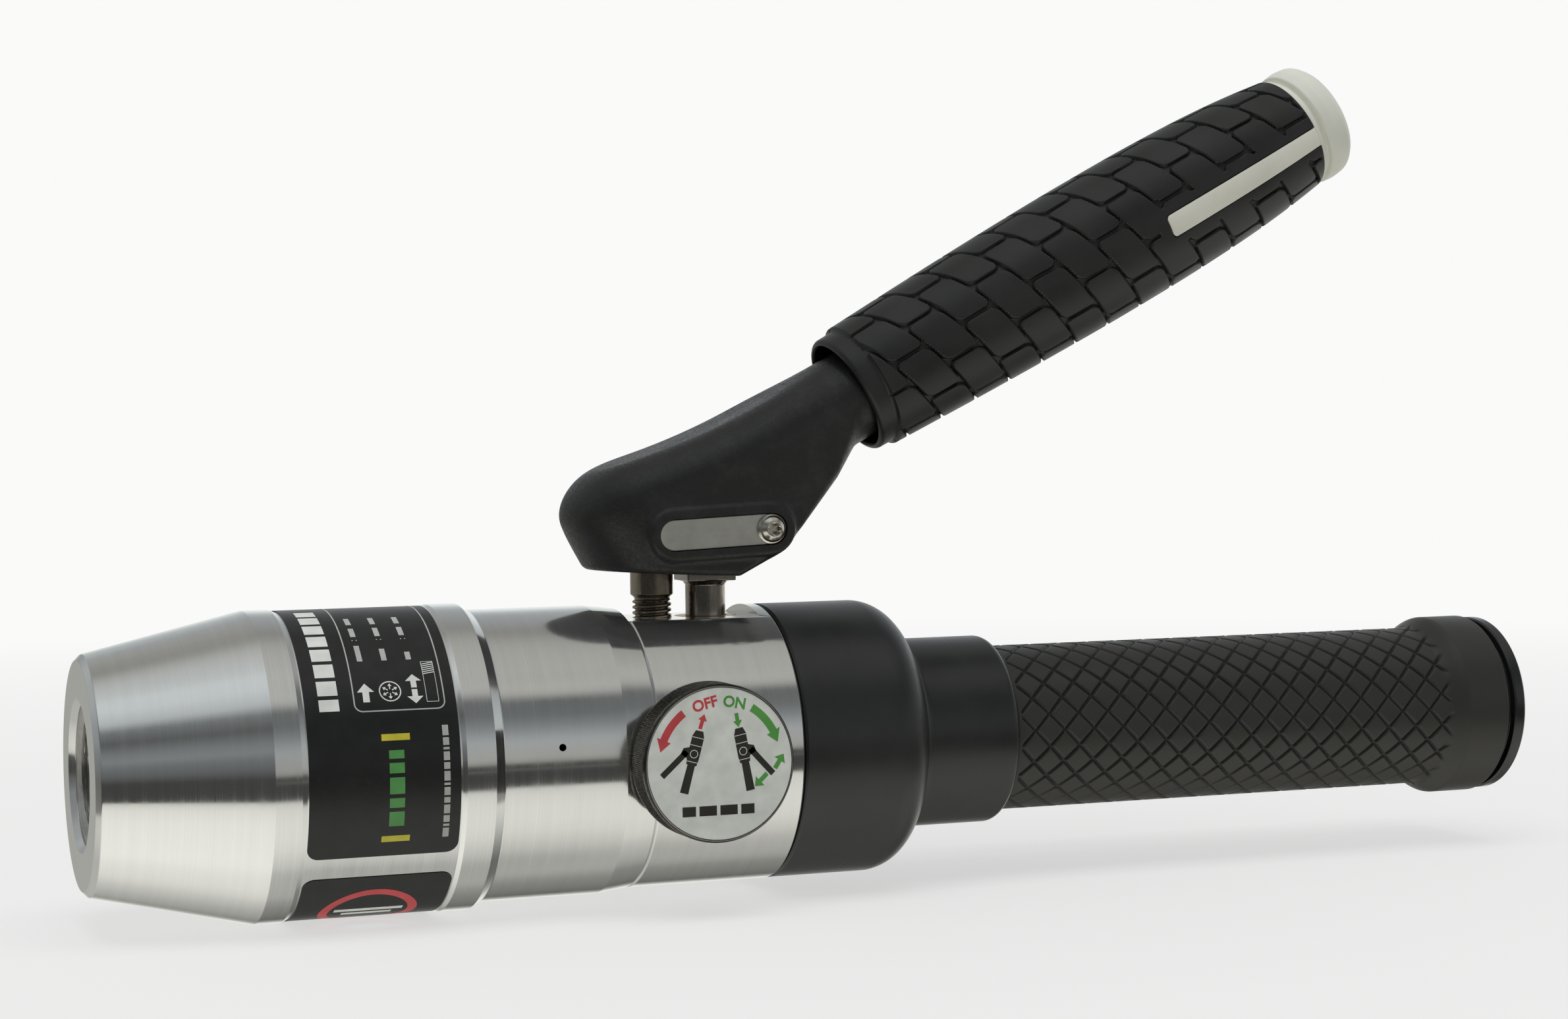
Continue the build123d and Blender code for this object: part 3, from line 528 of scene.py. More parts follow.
def wire_steel(name, color, rough):
    """Dark spring wire with brown stains."""
    look = Look(name, color, rough, 0.9)
    stain = look.noise(500, 4.0, 0.6)
    look.paint(stain, 0.35, 0.65, color, shade(color, 0.5))
    look.roughen(rough, (stain, 0.3, 0.7, -0.06, 0.12))
    look.bump(stain, 1e-5)
    return look


def gauze(name, color, rough):
    """Woven brass wire cloth."""
    look = Look(name, color, rough, 0.9)
    across, up = (look.math("SINE", look.math("MULTIPLY", look.part(axis), 9000))
                  for axis in ("Y", "Z"))
    weave = look.math("MULTIPLY", across, up)
    look.paint(weave, -0.6, 0.6, (0.12, 0.09, 0.04), (0.62, 0.50, 0.24))
    look.bump(weave, 5e-5)
    return look


def paint_knurl_shade_and_highlights(look):
    """Painted shade in the knurl's valleys and painted highlights on its points, random rubbed
    patches, and a bright bezel round the dial.
    """
    out = look.away((KNOB_X * MM, 0, 0), (1, 0, 1))
    # painted shade and highlight: the knurl is dark in its valleys and light on its points, by
    # radius
    rim = look.mix(look.remap(out, 0.01662, 0.01697), (0.022, 0.021, 0.019), (0.20, 0.19, 0.17))
    rubbed = look.noise(900, 3.0, 0.6)
    rim = look.mix(look.remap(rubbed, 0.35, 0.75), rim, (0.05, 0.048, 0.042))
    look.paint(look.part("Y"), -0.0408, -0.0409, rim, (0.42, 0.41, 0.38))


def paint_groove_shade(look):
    """Painted shade in the sleeve's grooves, darker than its raised diamonds."""
    look.paint(look.away((0, 0, 0), (0, 1, 1)), 0.01868, 0.01908, (0.016, 0.0155, 0.014),
               (0.040, 0.0385, 0.0345))


# Slot, recipe and its settings, in the order in which the materials are made.
RECIPES = (
    ("turned_aluminium", turned_metal, (0.87, 0.87, 0.855), 0.13),
    ("block_aluminium", turned_metal, (0.86, 0.86, 0.84), 0.13, 0.15),
    ("ram_steel", plain_steel, (0.60, 0.59, 0.56), 0.34),
    ("post_steel", plain_steel, (0.34, 0.29, 0.235), 0.24, (400, 400, 30), 0.75),
    ("plunger_steel", plain_steel, (0.40, 0.365, 0.325), 0.22, (400, 400, 30), 0.8),
    ("inner_steel", plain_steel, (0.52, 0.52, 0.51), 0.32),
    ("spring_steel", wire_steel, (0.16, 0.16, 0.17), 0.38),
    ("ball_steel", plain_steel, (0.78, 0.78, 0.79), 0.12, (20, 20, 20)),
    ("bronze", plain_steel, (0.60, 0.38, 0.16), 0.34),
    ("seal_rubber", moulded, (0.014, 0.014, 0.014), 0.45, 0.1, 1e-5),
    ("seal_plastic", moulded, (0.03, 0.10, 0.24), 0.4, 0.1, 1e-5),
    ("guide_plastic", moulded, (0.16, 0.09, 0.04), 0.5, 0.2, 2e-5),
    ("label_film", film, (0.0125, 0.0125, 0.0125), 0.36),
    ("anodised_black", coated, (0.014, 0.0145, 0.0145), 0.36),
    ("knob_aluminium", plain_steel, (0.085, 0.08, 0.07), 0.34, (200, 60, 200)),
    ("dial_plate", film, (0.80, 0.81, 0.77), 0.38),
    ("head_casting", casting, (0.0155, 0.0157, 0.0150), 0.42),
    ("plate_steel", plain_steel, (0.72, 0.71, 0.65), 0.40, (30, 400, 400), 0.85),
    ("screw_steel", plain_steel, (0.74, 0.70, 0.62), 0.22, (20, 20, 20), 0.85),
    ("grip_rubber", moulded, (0.0195, 0.0197, 0.0185), 0.40, 0.14, 1.6e-5),
    ("rear_grip_rubber", moulded, (0.040, 0.0385, 0.0345), 0.42, 0.16, 2e-5),
    ("inlay_plastic", moulded, (0.84, 0.83, 0.74), 0.46, 0.4, 1e-5, 0.08),
    ("cap_plastic", moulded, (0.84, 0.84, 0.755), 0.44, 0.4, 1.2e-5, 0.06),
    ("tube_steel", plain_steel, (0.48, 0.48, 0.48), 0.3),
    ("bladder_rubber", moulded, (0.02, 0.02, 0.022), 0.5, 0.2, 2e-5),
    ("screen_mesh", gauze, (0.55, 0.42, 0.18), 0.35),
    ("end_plug_black", coated, (0.014, 0.014, 0.014), 0.24))
LOOKS = {name: recipe(name, *settings) for name, recipe, *settings in RECIPES}
# painted shade and highlights on the knob's knurl
paint_knurl_shade_and_highlights(LOOKS["knob_aluminium"])
# painted shade in the rear sleeve's grooves
paint_groove_shade(LOOKS["rear_grip_rubber"])
INKS = {name: film("ink_" + name, color, 0.4) for name, color in (
    ("white", (0.80, 0.81, 0.77)), ("grey", (0.50, 0.51, 0.48)), ("green", (0.10, 0.34, 0.09)),
    ("yellow", (0.66, 0.58, 0.05)), ("red", (0.62, 0.07, 0.08)), ("dark", (0.030, 0.028, 0.022)),
    ("leaf", (0.10, 0.36, 0.07)))}
for node, slot in SLOT_OF.items():
    NODES[node].data.materials.clear()
    NODES[node].data.materials.append(LOOKS[slot].mat)


def place(piece, body, slot, *replaced, look=None):
    """Gives the piece its material, its body and the CAD nodes that it stands for."""
    piece.data.materials.clear()
    piece.data.materials.append((look or LOOKS[slot]).mat)
    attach(piece, body)
    if replaced:
        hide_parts(*replaced)
    return piece


# ------------------------------------------------------------------ cylinder
def make_cylinder():
    outer = [(0.0, 24.3, 0.25), (1.15, 25.55, 0.5), (34.9, 33.5, 1.0), (40.5, 33.5, 0.18),
             (41.6, LAND_R, 0.12), (74.3, LAND_R, 0.12), (75.2, 33.5, 0.2), (81.5, 33.5, 0.3),
             (83.8, 32.0, 0.8), (94.6, 32.0), (98.2, 32.0), (110.8, 32.0, 2.0),
             (117.85, 31.15, 0.12), (117.95, 30.6)]
    inner = [(117.95, 24.0), (30.0, 24.0), (30.0, 15.1), (1.3, 15.1, 0.1), (0.0, 16.25, 0.12)]
    piece = lathe("cylinder_shell", TOOL, outer + inner, 288)
    tilt = math.radians(7.5)
    vent = Frame((96.4, 0, 0), (0, -math.cos(tilt), math.sin(tilt)), (1, 0, 0),
                 (0, math.sin(tilt), math.cos(tilt)))
    cut(piece, rod("vent_cutter", vent, 22, 34, 0.8, 32))
    even(piece)
    place(piece, "tool_body", "turned_aluminium", "cylinder_body")
    # painted shade: a thin black sleeve inside the vent hole stands in for the hole's shade
    shade_sleeve = lathe("vent_shade_sleeve", vent, [(24.6, 0.72), (31.7, 0.72), (31.7, 0.79),
                                         (24.6, 0.79)], 32)
    place(shade_sleeve, "tool_body", "seal_rubber")


def make_ram():
    """Ram with a real helical internal thread at its mouth."""
    pitch, root, depth, last = 1.5, 12.0, 0.85, 26.0
    phi = circle(144)
    x = np.arange(last, 2.2, -0.125)
    fade = np.clip((last - x) / pitch, 0, 1)[:, None]
    radius = root + depth * thread(x, phi, pitch) * fade
    floor = [(30.5, 0), (30.5, 11.0), (26.3, root)]
    mouth = [(1.9, 12.6), (1.5, 13.2, 0.1), (1.5, 14.5, 0.1), (2.0, 15.0, 0.2),
             (34.0, 15.0, 0.2), (34.0, 9.95), (51.9, 9.95, 0.5), (51.9, 0)]
    piece = skin("draw_ram", TOOL, *layered(floor, x, radius, mouth), phi, closed=False)
    place(even(piece, 40), "ram", "ram_steel", "ram")


# ------------------------------------------------------------------ pump block
def make_block():
    outline = [(108, 0), (108, 23.35), (108.6, 23.95), (118.0, 23.95), (118.0, 30.45),
               (118.65, 31.1, 0.1), (151.2, 31.1, 0.15), (151.7, 30.6), (151.7, 22.0),
               (160.5, 22.0), (160.5, 0)]
    piece = lathe("pump_block_body", TOOL, outline, 288, closed=False)
    mill = [(110.0, -30), (143.7, -30), (148.7, -24, 5), (148.7, 24, 5), (143.7, 30), (110, 30)]
    cut(piece, prism("mill_cutter", upright(0), mill, 28.9, 40))
    for hole, radius in ((POST, 4.5), (PUMP, 7.02)):
        cut(piece, rod("hole_cutter", hole, 20.0, 40, radius, 96))
    cut(piece, rod("valve_cutter", SPINDLE, 20.0, 40, 5.03, 64))
    relief = Frame((123.0, 0, -1.0), (0, 1, 0), (1, 0, 0), (0, 0, 1))
    cut(piece, rod("relief_cutter", relief, 17.0, 40, 3.53, 64))
    bevel(piece, 0.22, 2, 28)
    place(even(piece, 40), "tool_body", "block_aluminium", "pump_block")


def make_post():
    """Fulcrum post with a real helical thread above the block."""
    pitch, foot, last, eye = 1.25, 15.0, 33.4, FULCRUM[1]
    phi = circle(96)
    z = np.arange(foot, last, 0.07)
    tooth = blend01(1.35 * thread(z, phi, pitch))
    fade = np.clip((last - z) / 0.9, 0, 1)[:, None]
    radius = 3.72 + 0.66 * tooth * fade + 0.25 * (1 - fade)
    top = [(33.5, 4.1), (34.1, 4.8, 0.2), (eye + 1.0, 4.8, 1.0), (eye + 4.0, 3.5, 1.5),
           (eye + 5.3, 1.6, 1.0), (eye + 5.3, 0)]
    piece = skin("fulcrum_stud", POST, *layered([(foot, 0)], z, radius, top), phi, closed=False)
    cut(piece, rod("eye_cutter", across(*FULCRUM), -8, 8, 3.05, 64))
    place(even(piece, 40), "tool_body", "post_steel", "fulcrum_post")


def make_plunger():
    shaft = lathe("plunger_shaft", PUMP, [
        (6.0, 0), (6.0, 4.1), (6.4, 4.5, 0.2), (35.9, 4.5, 0.6), (36.9, 5.3), (36.9, 0)], 96,
        closed=False)
    square = [(134.05, 36.8), (145.55, 36.8), (145.55, 52.8), (134.05, 52.8)]
    head = prism("plunger_block", across(0, 0), square, -4.95, 4.95, 0.28, 3)
    slot = stadium((138.1, PLUNGER[1]), (140.0, PLUNGER[1]), 2.7)
    cut(head, prism("slot_cutter", across(0, 0), slot, -7, 7))
    piece = joined("plunger_body", [shaft, head])
    place(even(piece), "plunger", "plunger_steel", "plunger")
    bush = lathe("plunger_collar", PUMP, [(14.1, 4.55), (28.4, 4.55), (28.93, 5.0),
                                          (28.93, 6.7, 0.1), (28.6, 7.0), (14.1, 7.0)], 96)
    place(bush, "tool_body", "bronze", "plunger_bush")


def coil(name, frame_of, start, end, coils, mean, wire):
    """Round wire wound about a frame's axis between two stations."""
    sides = 14
    t = np.linspace(0, 1, coils * 40 + 1)[:, None]
    around = circle(sides)[None, :]
    along = start + wire + (end - start - 2 * wire) * t + wire * np.sin(around)
    verts = frame_of.at(along, mean + wire * np.cos(around), 2 * math.pi * coils * t)
    index = np.arange(t.size * sides).reshape(t.size, sides)
    caps = [index[0].tolist(), index[-1][::-1].tolist()]
    return built(name, verts, ring_faces(index) + caps)


def make_springs():
    """Springs held at one end by the tool body, each with a mesh of its own."""
    start, end, stroke = 46.1, 107.9, 18.0
    spring = coil("return_coil", TOOL, start, end, 7, 18.0, 2.0)
    place(spring, "tool_body", "spring_steel", "return_spring")
    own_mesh(spring)
    start, end, stroke = -10.55, 5.9, 6.6
    spring = coil("plunger_coil", PUMP, start, end, 8, 3.6, 0.45)
    place(spring, "tool_body", "spring_steel", "plunger_spring")
    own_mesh(spring)


# ------------------------------------------------------------------ release knob
def make_knob():
    """Knob with a diamond knurl on its rim and a thin bezel round the dial."""
    back, low, high, rim, count = 31.9, 32.6, 39.7, 16.98, 120
    phi = circle(720)
    steps = np.linspace(low, high, 58)[:, None]
    round_at = count * phi[None, :] / (2 * math.pi)
    slope = count / (2 * math.pi * 17.0)
    ridge = np.minimum(*(1 - np.abs(2 * ((round_at + sign * slope * steps) % 1.0) - 1)
                         for sign in (1, -1)))
    edge = np.clip(np.minimum(steps - low, high - steps) / 0.3, 0, 1)
    radius = rim - 0.46 * (1 - blend01(ridge * 1.3)) * edge
    start = [(37.8, 3.03), (back, 3.03, 0.2), (back, 16.3, 0.2), (32.5, rim, 0.1)]
    end = [(39.8, rim), (40.1, rim, 0.1), (40.75, 16.62, 0.12), (40.95, 16.5, 0.05),
           (40.95, 16.34), (40.15, 16.34), (40.15, 3.0), (38.7, 3.0), (38.7, 1.33), (37.8, 1.33)]
    piece = skin("release_grip_ring", SPINDLE, *layered(start, steps[:, 0], radius, end), phi)
    place(piece, "knob", "knob_aluminium", "release_knob")
    disc = lathe("dial_face", SPINDLE, [(40.2, 0), (40.2, 16.25), (40.82, 16.25, 0.1),
                                        (40.86, 16.05, 0.05), (40.86, 0)], 192, closed=False)
    place(disc, "knob", "dial_plate", "dial_disc")


# ------------------------------------------------------------------ rear cover, grip and plug
def arc(centre, radius, start, end, steps):
    return [(centre[0] + radius * math.cos(math.radians(t)),
             centre[1] + radius * math.sin(math.radians(t)))
            for t in np.linspace(start, end, steps)]


def make_cover():
    outline = [(161.0, 22.05), (152.0, 22.05), (152.0, 30.4), (152.45, 31.05, 0.25)]
    outline += arc((174.7, 21.35), 9.7, 90, 13.75, 22) + arc((186.55, 24.2), 2.5, 193.75, 270, 12)
    outline += [(208.4, 21.7, 2.3), (208.4, 17.1), (190.0, 17.1), (190.0, 15.0), (161.0, 15.0)]
    place(lathe("rear_cover_shell", TOOL, outline, 288), "tool_body", "anodised_black",
          "rear_cover")


def make_rear_grip():
    """Rubber sleeve with crossed grooves, 16 diamonds round, ending in a collar."""
    sleeve_r, collar_r, diamonds, pitch_x = 19.15, 21.65, 16, 7.5
    phi = circle(768)
    x = np.arange(208.8, 330.0, 0.27)
    base = sleeve_r + (collar_r - sleeve_r) * blend01((x - 322.6) / 5.8)
    around = phi[None, :] * diamonds / (2 * math.pi)
    pitch_round = 2 * math.pi * sleeve_r / diamonds
    scale = 1 / math.hypot(1 / pitch_x, 1 / pitch_round)
    groove = 0.0
    for sign, offset in ((1, -0.51), (-1, 0.29)):
        line = (around + sign * x[:, None] / pitch_x + offset + 0.5) % 1.0 - 0.5
        groove = np.maximum(groove, 1 - blend01((np.abs(line) * scale - 0.10) / 0.42))
    fade = blend01((324.6 - x) / 1.2) * blend01((x - 209.3) / 0.8)
    radius = base[:, None] - 0.55 * groove * fade[:, None]
    start = [(338.6, 17.05), (208.5, 17.05), (208.5, 18.9, 0.2)]
    end = [(331.0, collar_r), (338.5, collar_r, 0.7), (339.3, 20.9, 0.3), (339.3, 19.4),
           (338.6, 19.4)]
    piece = skin("rear_sleeve", TOOL, *layered(start, x, radius, end), phi, angle=50)
    place(piece, "tool_body", "rear_grip_rubber", "rear_grip")


def make_end_plug():
    piece = lathe("reservoir_plug", TOOL, [
        (319.0, 1.5), (319.0, 12.05), (326.3, 12.05), (326.3, 14.95), (338.6, 14.95),
        (338.6, 19.35), (340.7, 19.35, 0.2), (340.8, 20.9, 0.15), (341.2, 21.2, 0.3),
        (343.4, 21.2, 0.6), (344.1, 20.4, 0.4), (344.1, 5.4, 0.3), (342.6, 4.4, 0.2),
        (342.6, 1.5)], 192)
    for side in (-1, 1):
        spot = Frame((0, 0, 0), (1, 0, 0), (0, side, 0), (0, 0, 1))
        hole = [(13.0 + 1.6 * math.cos(t), 1.6 * math.sin(t)) for t in circle(32)]
        cut(piece, prism("spanner_cutter", spot, hole, 341.5, 350))
    place(even(piece, 35), "tool_body", "end_plug_black", "end_plug")


# ------------------------------------------------------------------ lever
def head_field(x, y, z):
    """Distance field of the cast lever head before machining."""
    normal, axis = np.array((-S_TILT, C_TILT)), np.array((C_TILT, S_TILT))
    lip = np.array((174.5, 78.0))
    # plan: round front whose lower part leans back, then sides that narrow to the neck
    lean = (39.9 - z) * 0.606 + 6.6
    front = 105.1 + 0.5 * (lean + np.sqrt(lean ** 2 + 8))
    half = np.interp(x, [0, 148, 153, 158, 168, 173, 176, 300],
                     [16.7, 16.7, 16.5, 15.5, 13.2, 12.45, 12.3, 12.3])
    plan = np.where(x < front + 16.7, np.hypot(x - front - 16.7, y) - 16.7, np.abs(y) - half)
    top = soft_min(beyond_line(x, z, (101.1, 57.9), (139.5, 70.3)),
                   beyond_line(x, z, (139.5, 70.3), (168.5, 85.6)), 2.5)
    crown = np.interp(x, [100, 125, 150, 165], [9.6, 9.6, 9.4, 11.5])
    body = round_max(top, plan, crown)
    under = np.maximum(beyond_line(x, z, (142.6, 38.3), (112.8, 39.9)),
                       beyond_line(x, z, (152.9, 43.5), (142.6, 38.3)))
    under = round_max(under, beyond_line(x, z, (173.6, 65.2), (152.9, 43.5)), 1.2)
    body = round_max(body, under, np.interp(x, [100, 158, 168, 174], [0.9, 1.3, 3.5, 9.5]))
    along = (x - lip[0]) * axis[0] + (z - lip[1]) * axis[1]
    across = (x - lip[0]) * normal[0] + (z - lip[1]) * normal[1]
    body = np.maximum(body, along + 1.2)
    neck = (np.hypot(y / 12.3, (across + 0.5) / 10.25) - 1) * 10.25
    neck = np.maximum(neck, np.maximum(along - 7.8, -12.0 - along))
    body = soft_min(body, neck, 0.6)
    a, b = np.array(FULCRUM), np.array(PLATE_SCREW)
    share = np.clip(((x - a[0]) * (b - a)[0] + (z - a[1]) * (b - a)[1]) / ((b - a) @ (b - a)), 0, 1)
    ring = np.hypot(x - a[0] - share * (b - a)[0], z - a[1] - share * (b - a)[1])
    rim = round_max(ring - 5.6, np.maximum(-y - 17.75, y + 12), 0.6)
    body = soft_min(body, rim, 1.5)
    # light parting line and the small flash step at the front foot
    seam = beyond_line(x, z, (108.0, 39.9), (127.1, 48.0))
    return body + 0.12 * np.exp(-(seam / 0.35) ** 2) * (x < 118.5) * (y < 0)


def make_head():
    """Cast lever head, then its machined slot, pin holes, screw hole and plate seat."""
    low, high, step = (104.0, -19.5, 36.0), (184.0, 19.5, 90.0), 0.5
    axes = [np.arange(a, b, step) for a, b in zip(low, high)]
    body = net_surface("lever_casting", head_field(*np.meshgrid(*axes, indexing="ij")), low, step)
    channel = [(119.5, 20.0), (159.0, 31.1), (152.6, 42.2), (143.8, 57.5), (142.0, 58.5),
               (119.5, 58.5, 1.5)]
    cut(body, prism("channel_cutter", across(0, 0), channel, -5.4, 5.4))
    seat = stadium(FULCRUM, PLATE_SCREW, 3.55)
    cut(body, prism("seat_cutter", across(0, 0), seat, 15.5, 20.0))
    for hole, start, radius in ((across(*FULCRUM), -15.1, 3.03), (across(*PLUNGER), -15.1, 2.53),
                                (SCREW, 6.8, 1.55)):
        cut(body, rod("hole_cutter", hole, start, 17.0, radius, 48))
    cut(body, rod("socket_cutter", LEVER, -25.1, 12, 8.53, 96))
    place(even(body, 42), "lever", "head_casting", "lever_head")


def make_plate():
    plate = prism("retainer_plate", across(0, 0), stadium(FULCRUM, PLATE_SCREW, 3.42, 28), 15.5,
                  17.0, 0.16, 3)
    cut(plate, rod("plate_cutter", SCREW, 14, 20, 1.6, 48))
    place(even(plate, 50), "lever", "plate_steel", "pin_plate")
    screw = lathe("retainer_screw", SCREW, [
        (7.3, 0), (7.3, 1.0), (7.8, 1.5), (17.02, 1.5), (17.02, 3.42, 0.1), (17.42, 3.42, 0.12),
        (17.62, 2.95, 0.3), (18.25, 2.55, 0.6), (18.85, 1.8, 0.4), (18.9, 0)], 96, closed=False)
    star = [((1.42 + 0.24 * math.cos(6 * t)) * math.cos(t),
             (1.42 + 0.24 * math.cos(6 * t)) * math.sin(t)) for t in circle(96)]
    cut(screw, prism("recess_cutter", SCREW, star, 17.0, 20))
    place(even(screw, 40), "lever", "screw_steel", "plate_screw")


GRIP_PROFILE = np.array([(0, 13.0), (1.5, 14.7), (6, 15.2), (29.6, 16.15), (48, 16.7),
                         (67, 17.1), (90, 17.1), (110, 16.45), (125, 15.2), (131.4, 14.3)])
STRIP_START, STRIP_WIDTH, STRIP_ANGLE = 84.7, 5.2, math.radians(-6.2)


def grip_radius(s):
    """Outer radius of the barrel-shaped sleeve, as a smooth curve through the stations."""
    coarse = np.interp(np.linspace(6, 131.4, 60), GRIP_PROFILE[:, 0], GRIP_PROFILE[:, 1])
    for _ in range(12):
        coarse[1:-1] = 0.25 * coarse[:-2] + 0.5 * coarse[1:-1] + 0.25 * coarse[2:]
    body = np.interp(s, np.linspace(6, 131.4, 60), coarse)
    lip = 15.2 - 0.1 * np.clip((6 - s) / 6, 0, 1)
    round_in = 1.1 - np.sqrt(np.clip(1.1 ** 2 - np.clip(1.1 - s, 0, 1.1) ** 2, 0, None))
    return np.where(s >= 6, body, lip - round_in)


def box_distance(x, y, half_x, half_y, corner):
    """Signed distance to a rounded rectangle, negative inside."""
    qx, qy = np.abs(x) - half_x + corner, np.abs(y) - half_y + corner
    return (np.hypot(np.maximum(qx, 0), np.maximum(qy, 0))
            + np.minimum(np.maximum(qx, qy), 0) - corner)


def pad_height(s, phi):
    """Height of the staggered pads over the sleeve's grooves, as a share of their depth."""
    pitch, radius = 9.55, 16.4
    degrees = np.degrees(phi)
    column_at = (s - 7.36 - 4 * pitch / 360 * (20 - degrees)) / pitch
    column = np.floor(column_at)
    beside = (column_at - column - 0.5) * pitch
    row_at = (degrees - 12 - 0.035 * s - 22.5 * (column % 2)) / 45
    above = (row_at - np.floor(row_at) - 0.5) * math.radians(45) * radius
    distance = np.maximum(box_distance(beside, above, 4.415, 5.92, 1.7), 5.0 - s)
    near = np.degrees(STRIP_ANGLE)
    for centre in (near, 180 - near):
        turn = (degrees - centre + 180) % 360 - 180
        flat = box_distance(s - 108, turn * math.pi / 180 * radius, 26.5, 4.7, 2.0)
        distance = np.minimum(distance, flat)
    return 1 - blend01((distance + 0.10) / 0.40)


def make_lever_grip():
    phi = circle(640)
    s = np.concatenate([np.arange(0, 2, 0.2), np.arange(2, 131.3, 0.28), [131.4]])
    grid_s, grid_phi = np.meshgrid(s, phi, indexing="ij")
    fade = blend01((131.2 - s) / 0.8)[:, None]
    radius = grip_radius(s)[:, None] - 0.92 * (1 - pad_height(grid_s, grid_phi)) * fade
    for centre in (STRIP_ANGLE, math.pi - STRIP_ANGLE):
        turn = (grid_phi - centre + math.pi) % (2 * math.pi) - math.pi
        groove = box_distance(grid_s - (STRIP_START + 30), turn * 16.5, 30.1,
                              STRIP_WIDTH / 2 + 0.1, 1.1)
        radius = radius - 1.2 * blend01((0.16 - groove) / 0.3)
    end = [(131.4, 8.6), (9.0, 8.6), (9.0, 12.75), (0.5, 12.75, 0.3), (0.0, 13.1)]
    piece = skin("lever_sleeve", LEVER, *layered([], s, radius, end), phi, angle=50)
    place(piece, "lever", "grip_rubber", "lever_grip")


def slice_up(bm, axis, stations):
    """Cuts flat faces along lines across an axis, so that they can bend."""
    normal = tuple(float(k == axis) for k in range(3))
    for at in stations:
        bmesh.ops.bisect_plane(bm, geom=bm.verts[:] + bm.edges[:] + bm.faces[:],
                               plane_co=tuple(at * n for n in normal), plane_no=normal)


def make_inlays():
    """Two light strips, bent to the sleeve's curve, slightly crowned."""
    pieces = []
    half, end = STRIP_WIDTH / 2, 131.3
    for centre in (STRIP_ANGLE, math.pi - STRIP_ANGLE):
        bm = bmesh.new()
        bm.faces.new([bm.verts.new((x, y, 0)) for x, y in rounded(
            [(STRIP_START, -half, 1.0), (end, -half), (end, half), (STRIP_START, half, 1.0)])])
        slice_up(bm, 0, np.arange(STRIP_START + 1.5, end, 1.5))
        slice_up(bm, 1, np.arange(0.4 - half, half, 0.4))
        mesh = bpy.data.meshes.new("strip")
        bm.to_mesh(mesh)
        bm.free()
        co = np.array([v.co for v in mesh.vertices])
        radius = grip_radius(co[:, 0]) - 0.02 + 0.12 * (1 - (co[:, 1] / half) ** 2)
        points = LEVER.at(co[:, 0], radius, centre + co[:, 1] / 16.5)
        mesh.vertices.foreach_set("co", points.reshape(-1))
        strip = link("strip", mesh)
        modify(strip, "SOLIDIFY", thickness=1.0 * MM, offset=-1)
        tidy(strip.data, 40)
        bevel(strip, 0.18, 3, 50)
        pieces.append(strip)
    place(joined("side_strips", pieces), "lever", "inlay_plastic", "grip_inlays")


def make_end_cap():
    piece = lathe("lever_cap", LEVER, [
        (112.0, 0), (112.0, 6.0, 0.2), (112.6, 6.4), (131.45, 6.4), (131.45, 13.5, 0.1),
        (131.55, 13.9, 0.25), (132.5, 13.9, 0.3), (133.0, 12.9, 0.3), (133.9, 12.9, 0.3),
        (134.0, 14.2, 1.0), (136.6, 14.5, 3.0), (139.4, 14.2, 2.0), (141.1, 12.6, 1.8),
        (141.6, 9.6, 3.0), (141.6, 0)], 192, closed=False)
    place(piece, "lever", "cap_plastic", "lever_end_cap")


# ------------------------------------------------------------------ printed films
def ring_shape(x, y, outer, inner, steps=48):
    out = []
    for k in range(steps):
        t0, t1 = 2 * math.pi * k / steps, 2 * math.pi * (k + 1) / steps
        out.append([(x + r * math.cos(t), y + r * math.sin(t))
                    for r, t in ((inner, t0), (outer, t0), (outer, t1), (inner, t1))])
    return out


def bar(x0, y0, x1, y1, width):
    """Rectangle along a line."""
    d = np.array((x1 - x0, y1 - y0))
    n = np.array((-d[1], d[0])) / np.linalg.norm(d) * width / 2
    a, b = np.array((x0, y0)), np.array((x1, y1))
    return [tuple(a + n), tuple(a - n), tuple(b - n), tuple(b + n)]


def arrow(x0, y0, x1, y1, width, head, barb):
    """Straight arrow as a bar and a triangle."""
    a, b = np.array((x0, y0), float), np.array((x1, y1), float)
    d = (b - a) / np.linalg.norm(b - a)
    n = np.array((-d[1], d[0]))
    neck = b - d * head
    return [bar(*a, *neck, width), [tuple(neck + n * barb), tuple(neck - n * barb), tuple(b)]]


def outline_box(x0, y0, x1, y1, corner, width):
    outer, inner = (rounded([(x0 + d, y0 + d, corner - d), (x1 - d, y0 + d, corner - d),
                             (x1 - d, y1 - d, corner - d), (x0 + d, y1 - d, corner - d)])
                    for d in (0, width))
    n = len(outer)
    return [[outer[i], outer[(i + 1) % n], inner[(i + 1) % n], inner[i]] for i in range(n)]


def lettering(text, x, y, size, angle):
    """Generic word as flat triangles."""
    curve = bpy.data.curves.new("word", "FONT")
    curve.body, curve.size, curve.align_x, curve.align_y = text, size, "CENTER", "CENTER"
    curve.offset = 0.03 * size
    holder = bpy.data.objects.new("word", curve)
    bpy.context.scene.collection.objects.link(holder)
    bpy.context.view_layer.update()
    mesh = bpy.data.meshes.new_from_object(holder)
    c, s = math.cos(angle), math.sin(angle)
    shapes = [[(x + c * mesh.vertices[i].co.x - s * mesh.vertices[i].co.y,
                y + s * mesh.vertices[i].co.x + c * mesh.vertices[i].co.y)
               for i in face.vertices] for face in mesh.polygons]
    bpy.data.objects.remove(holder)
    return shapes


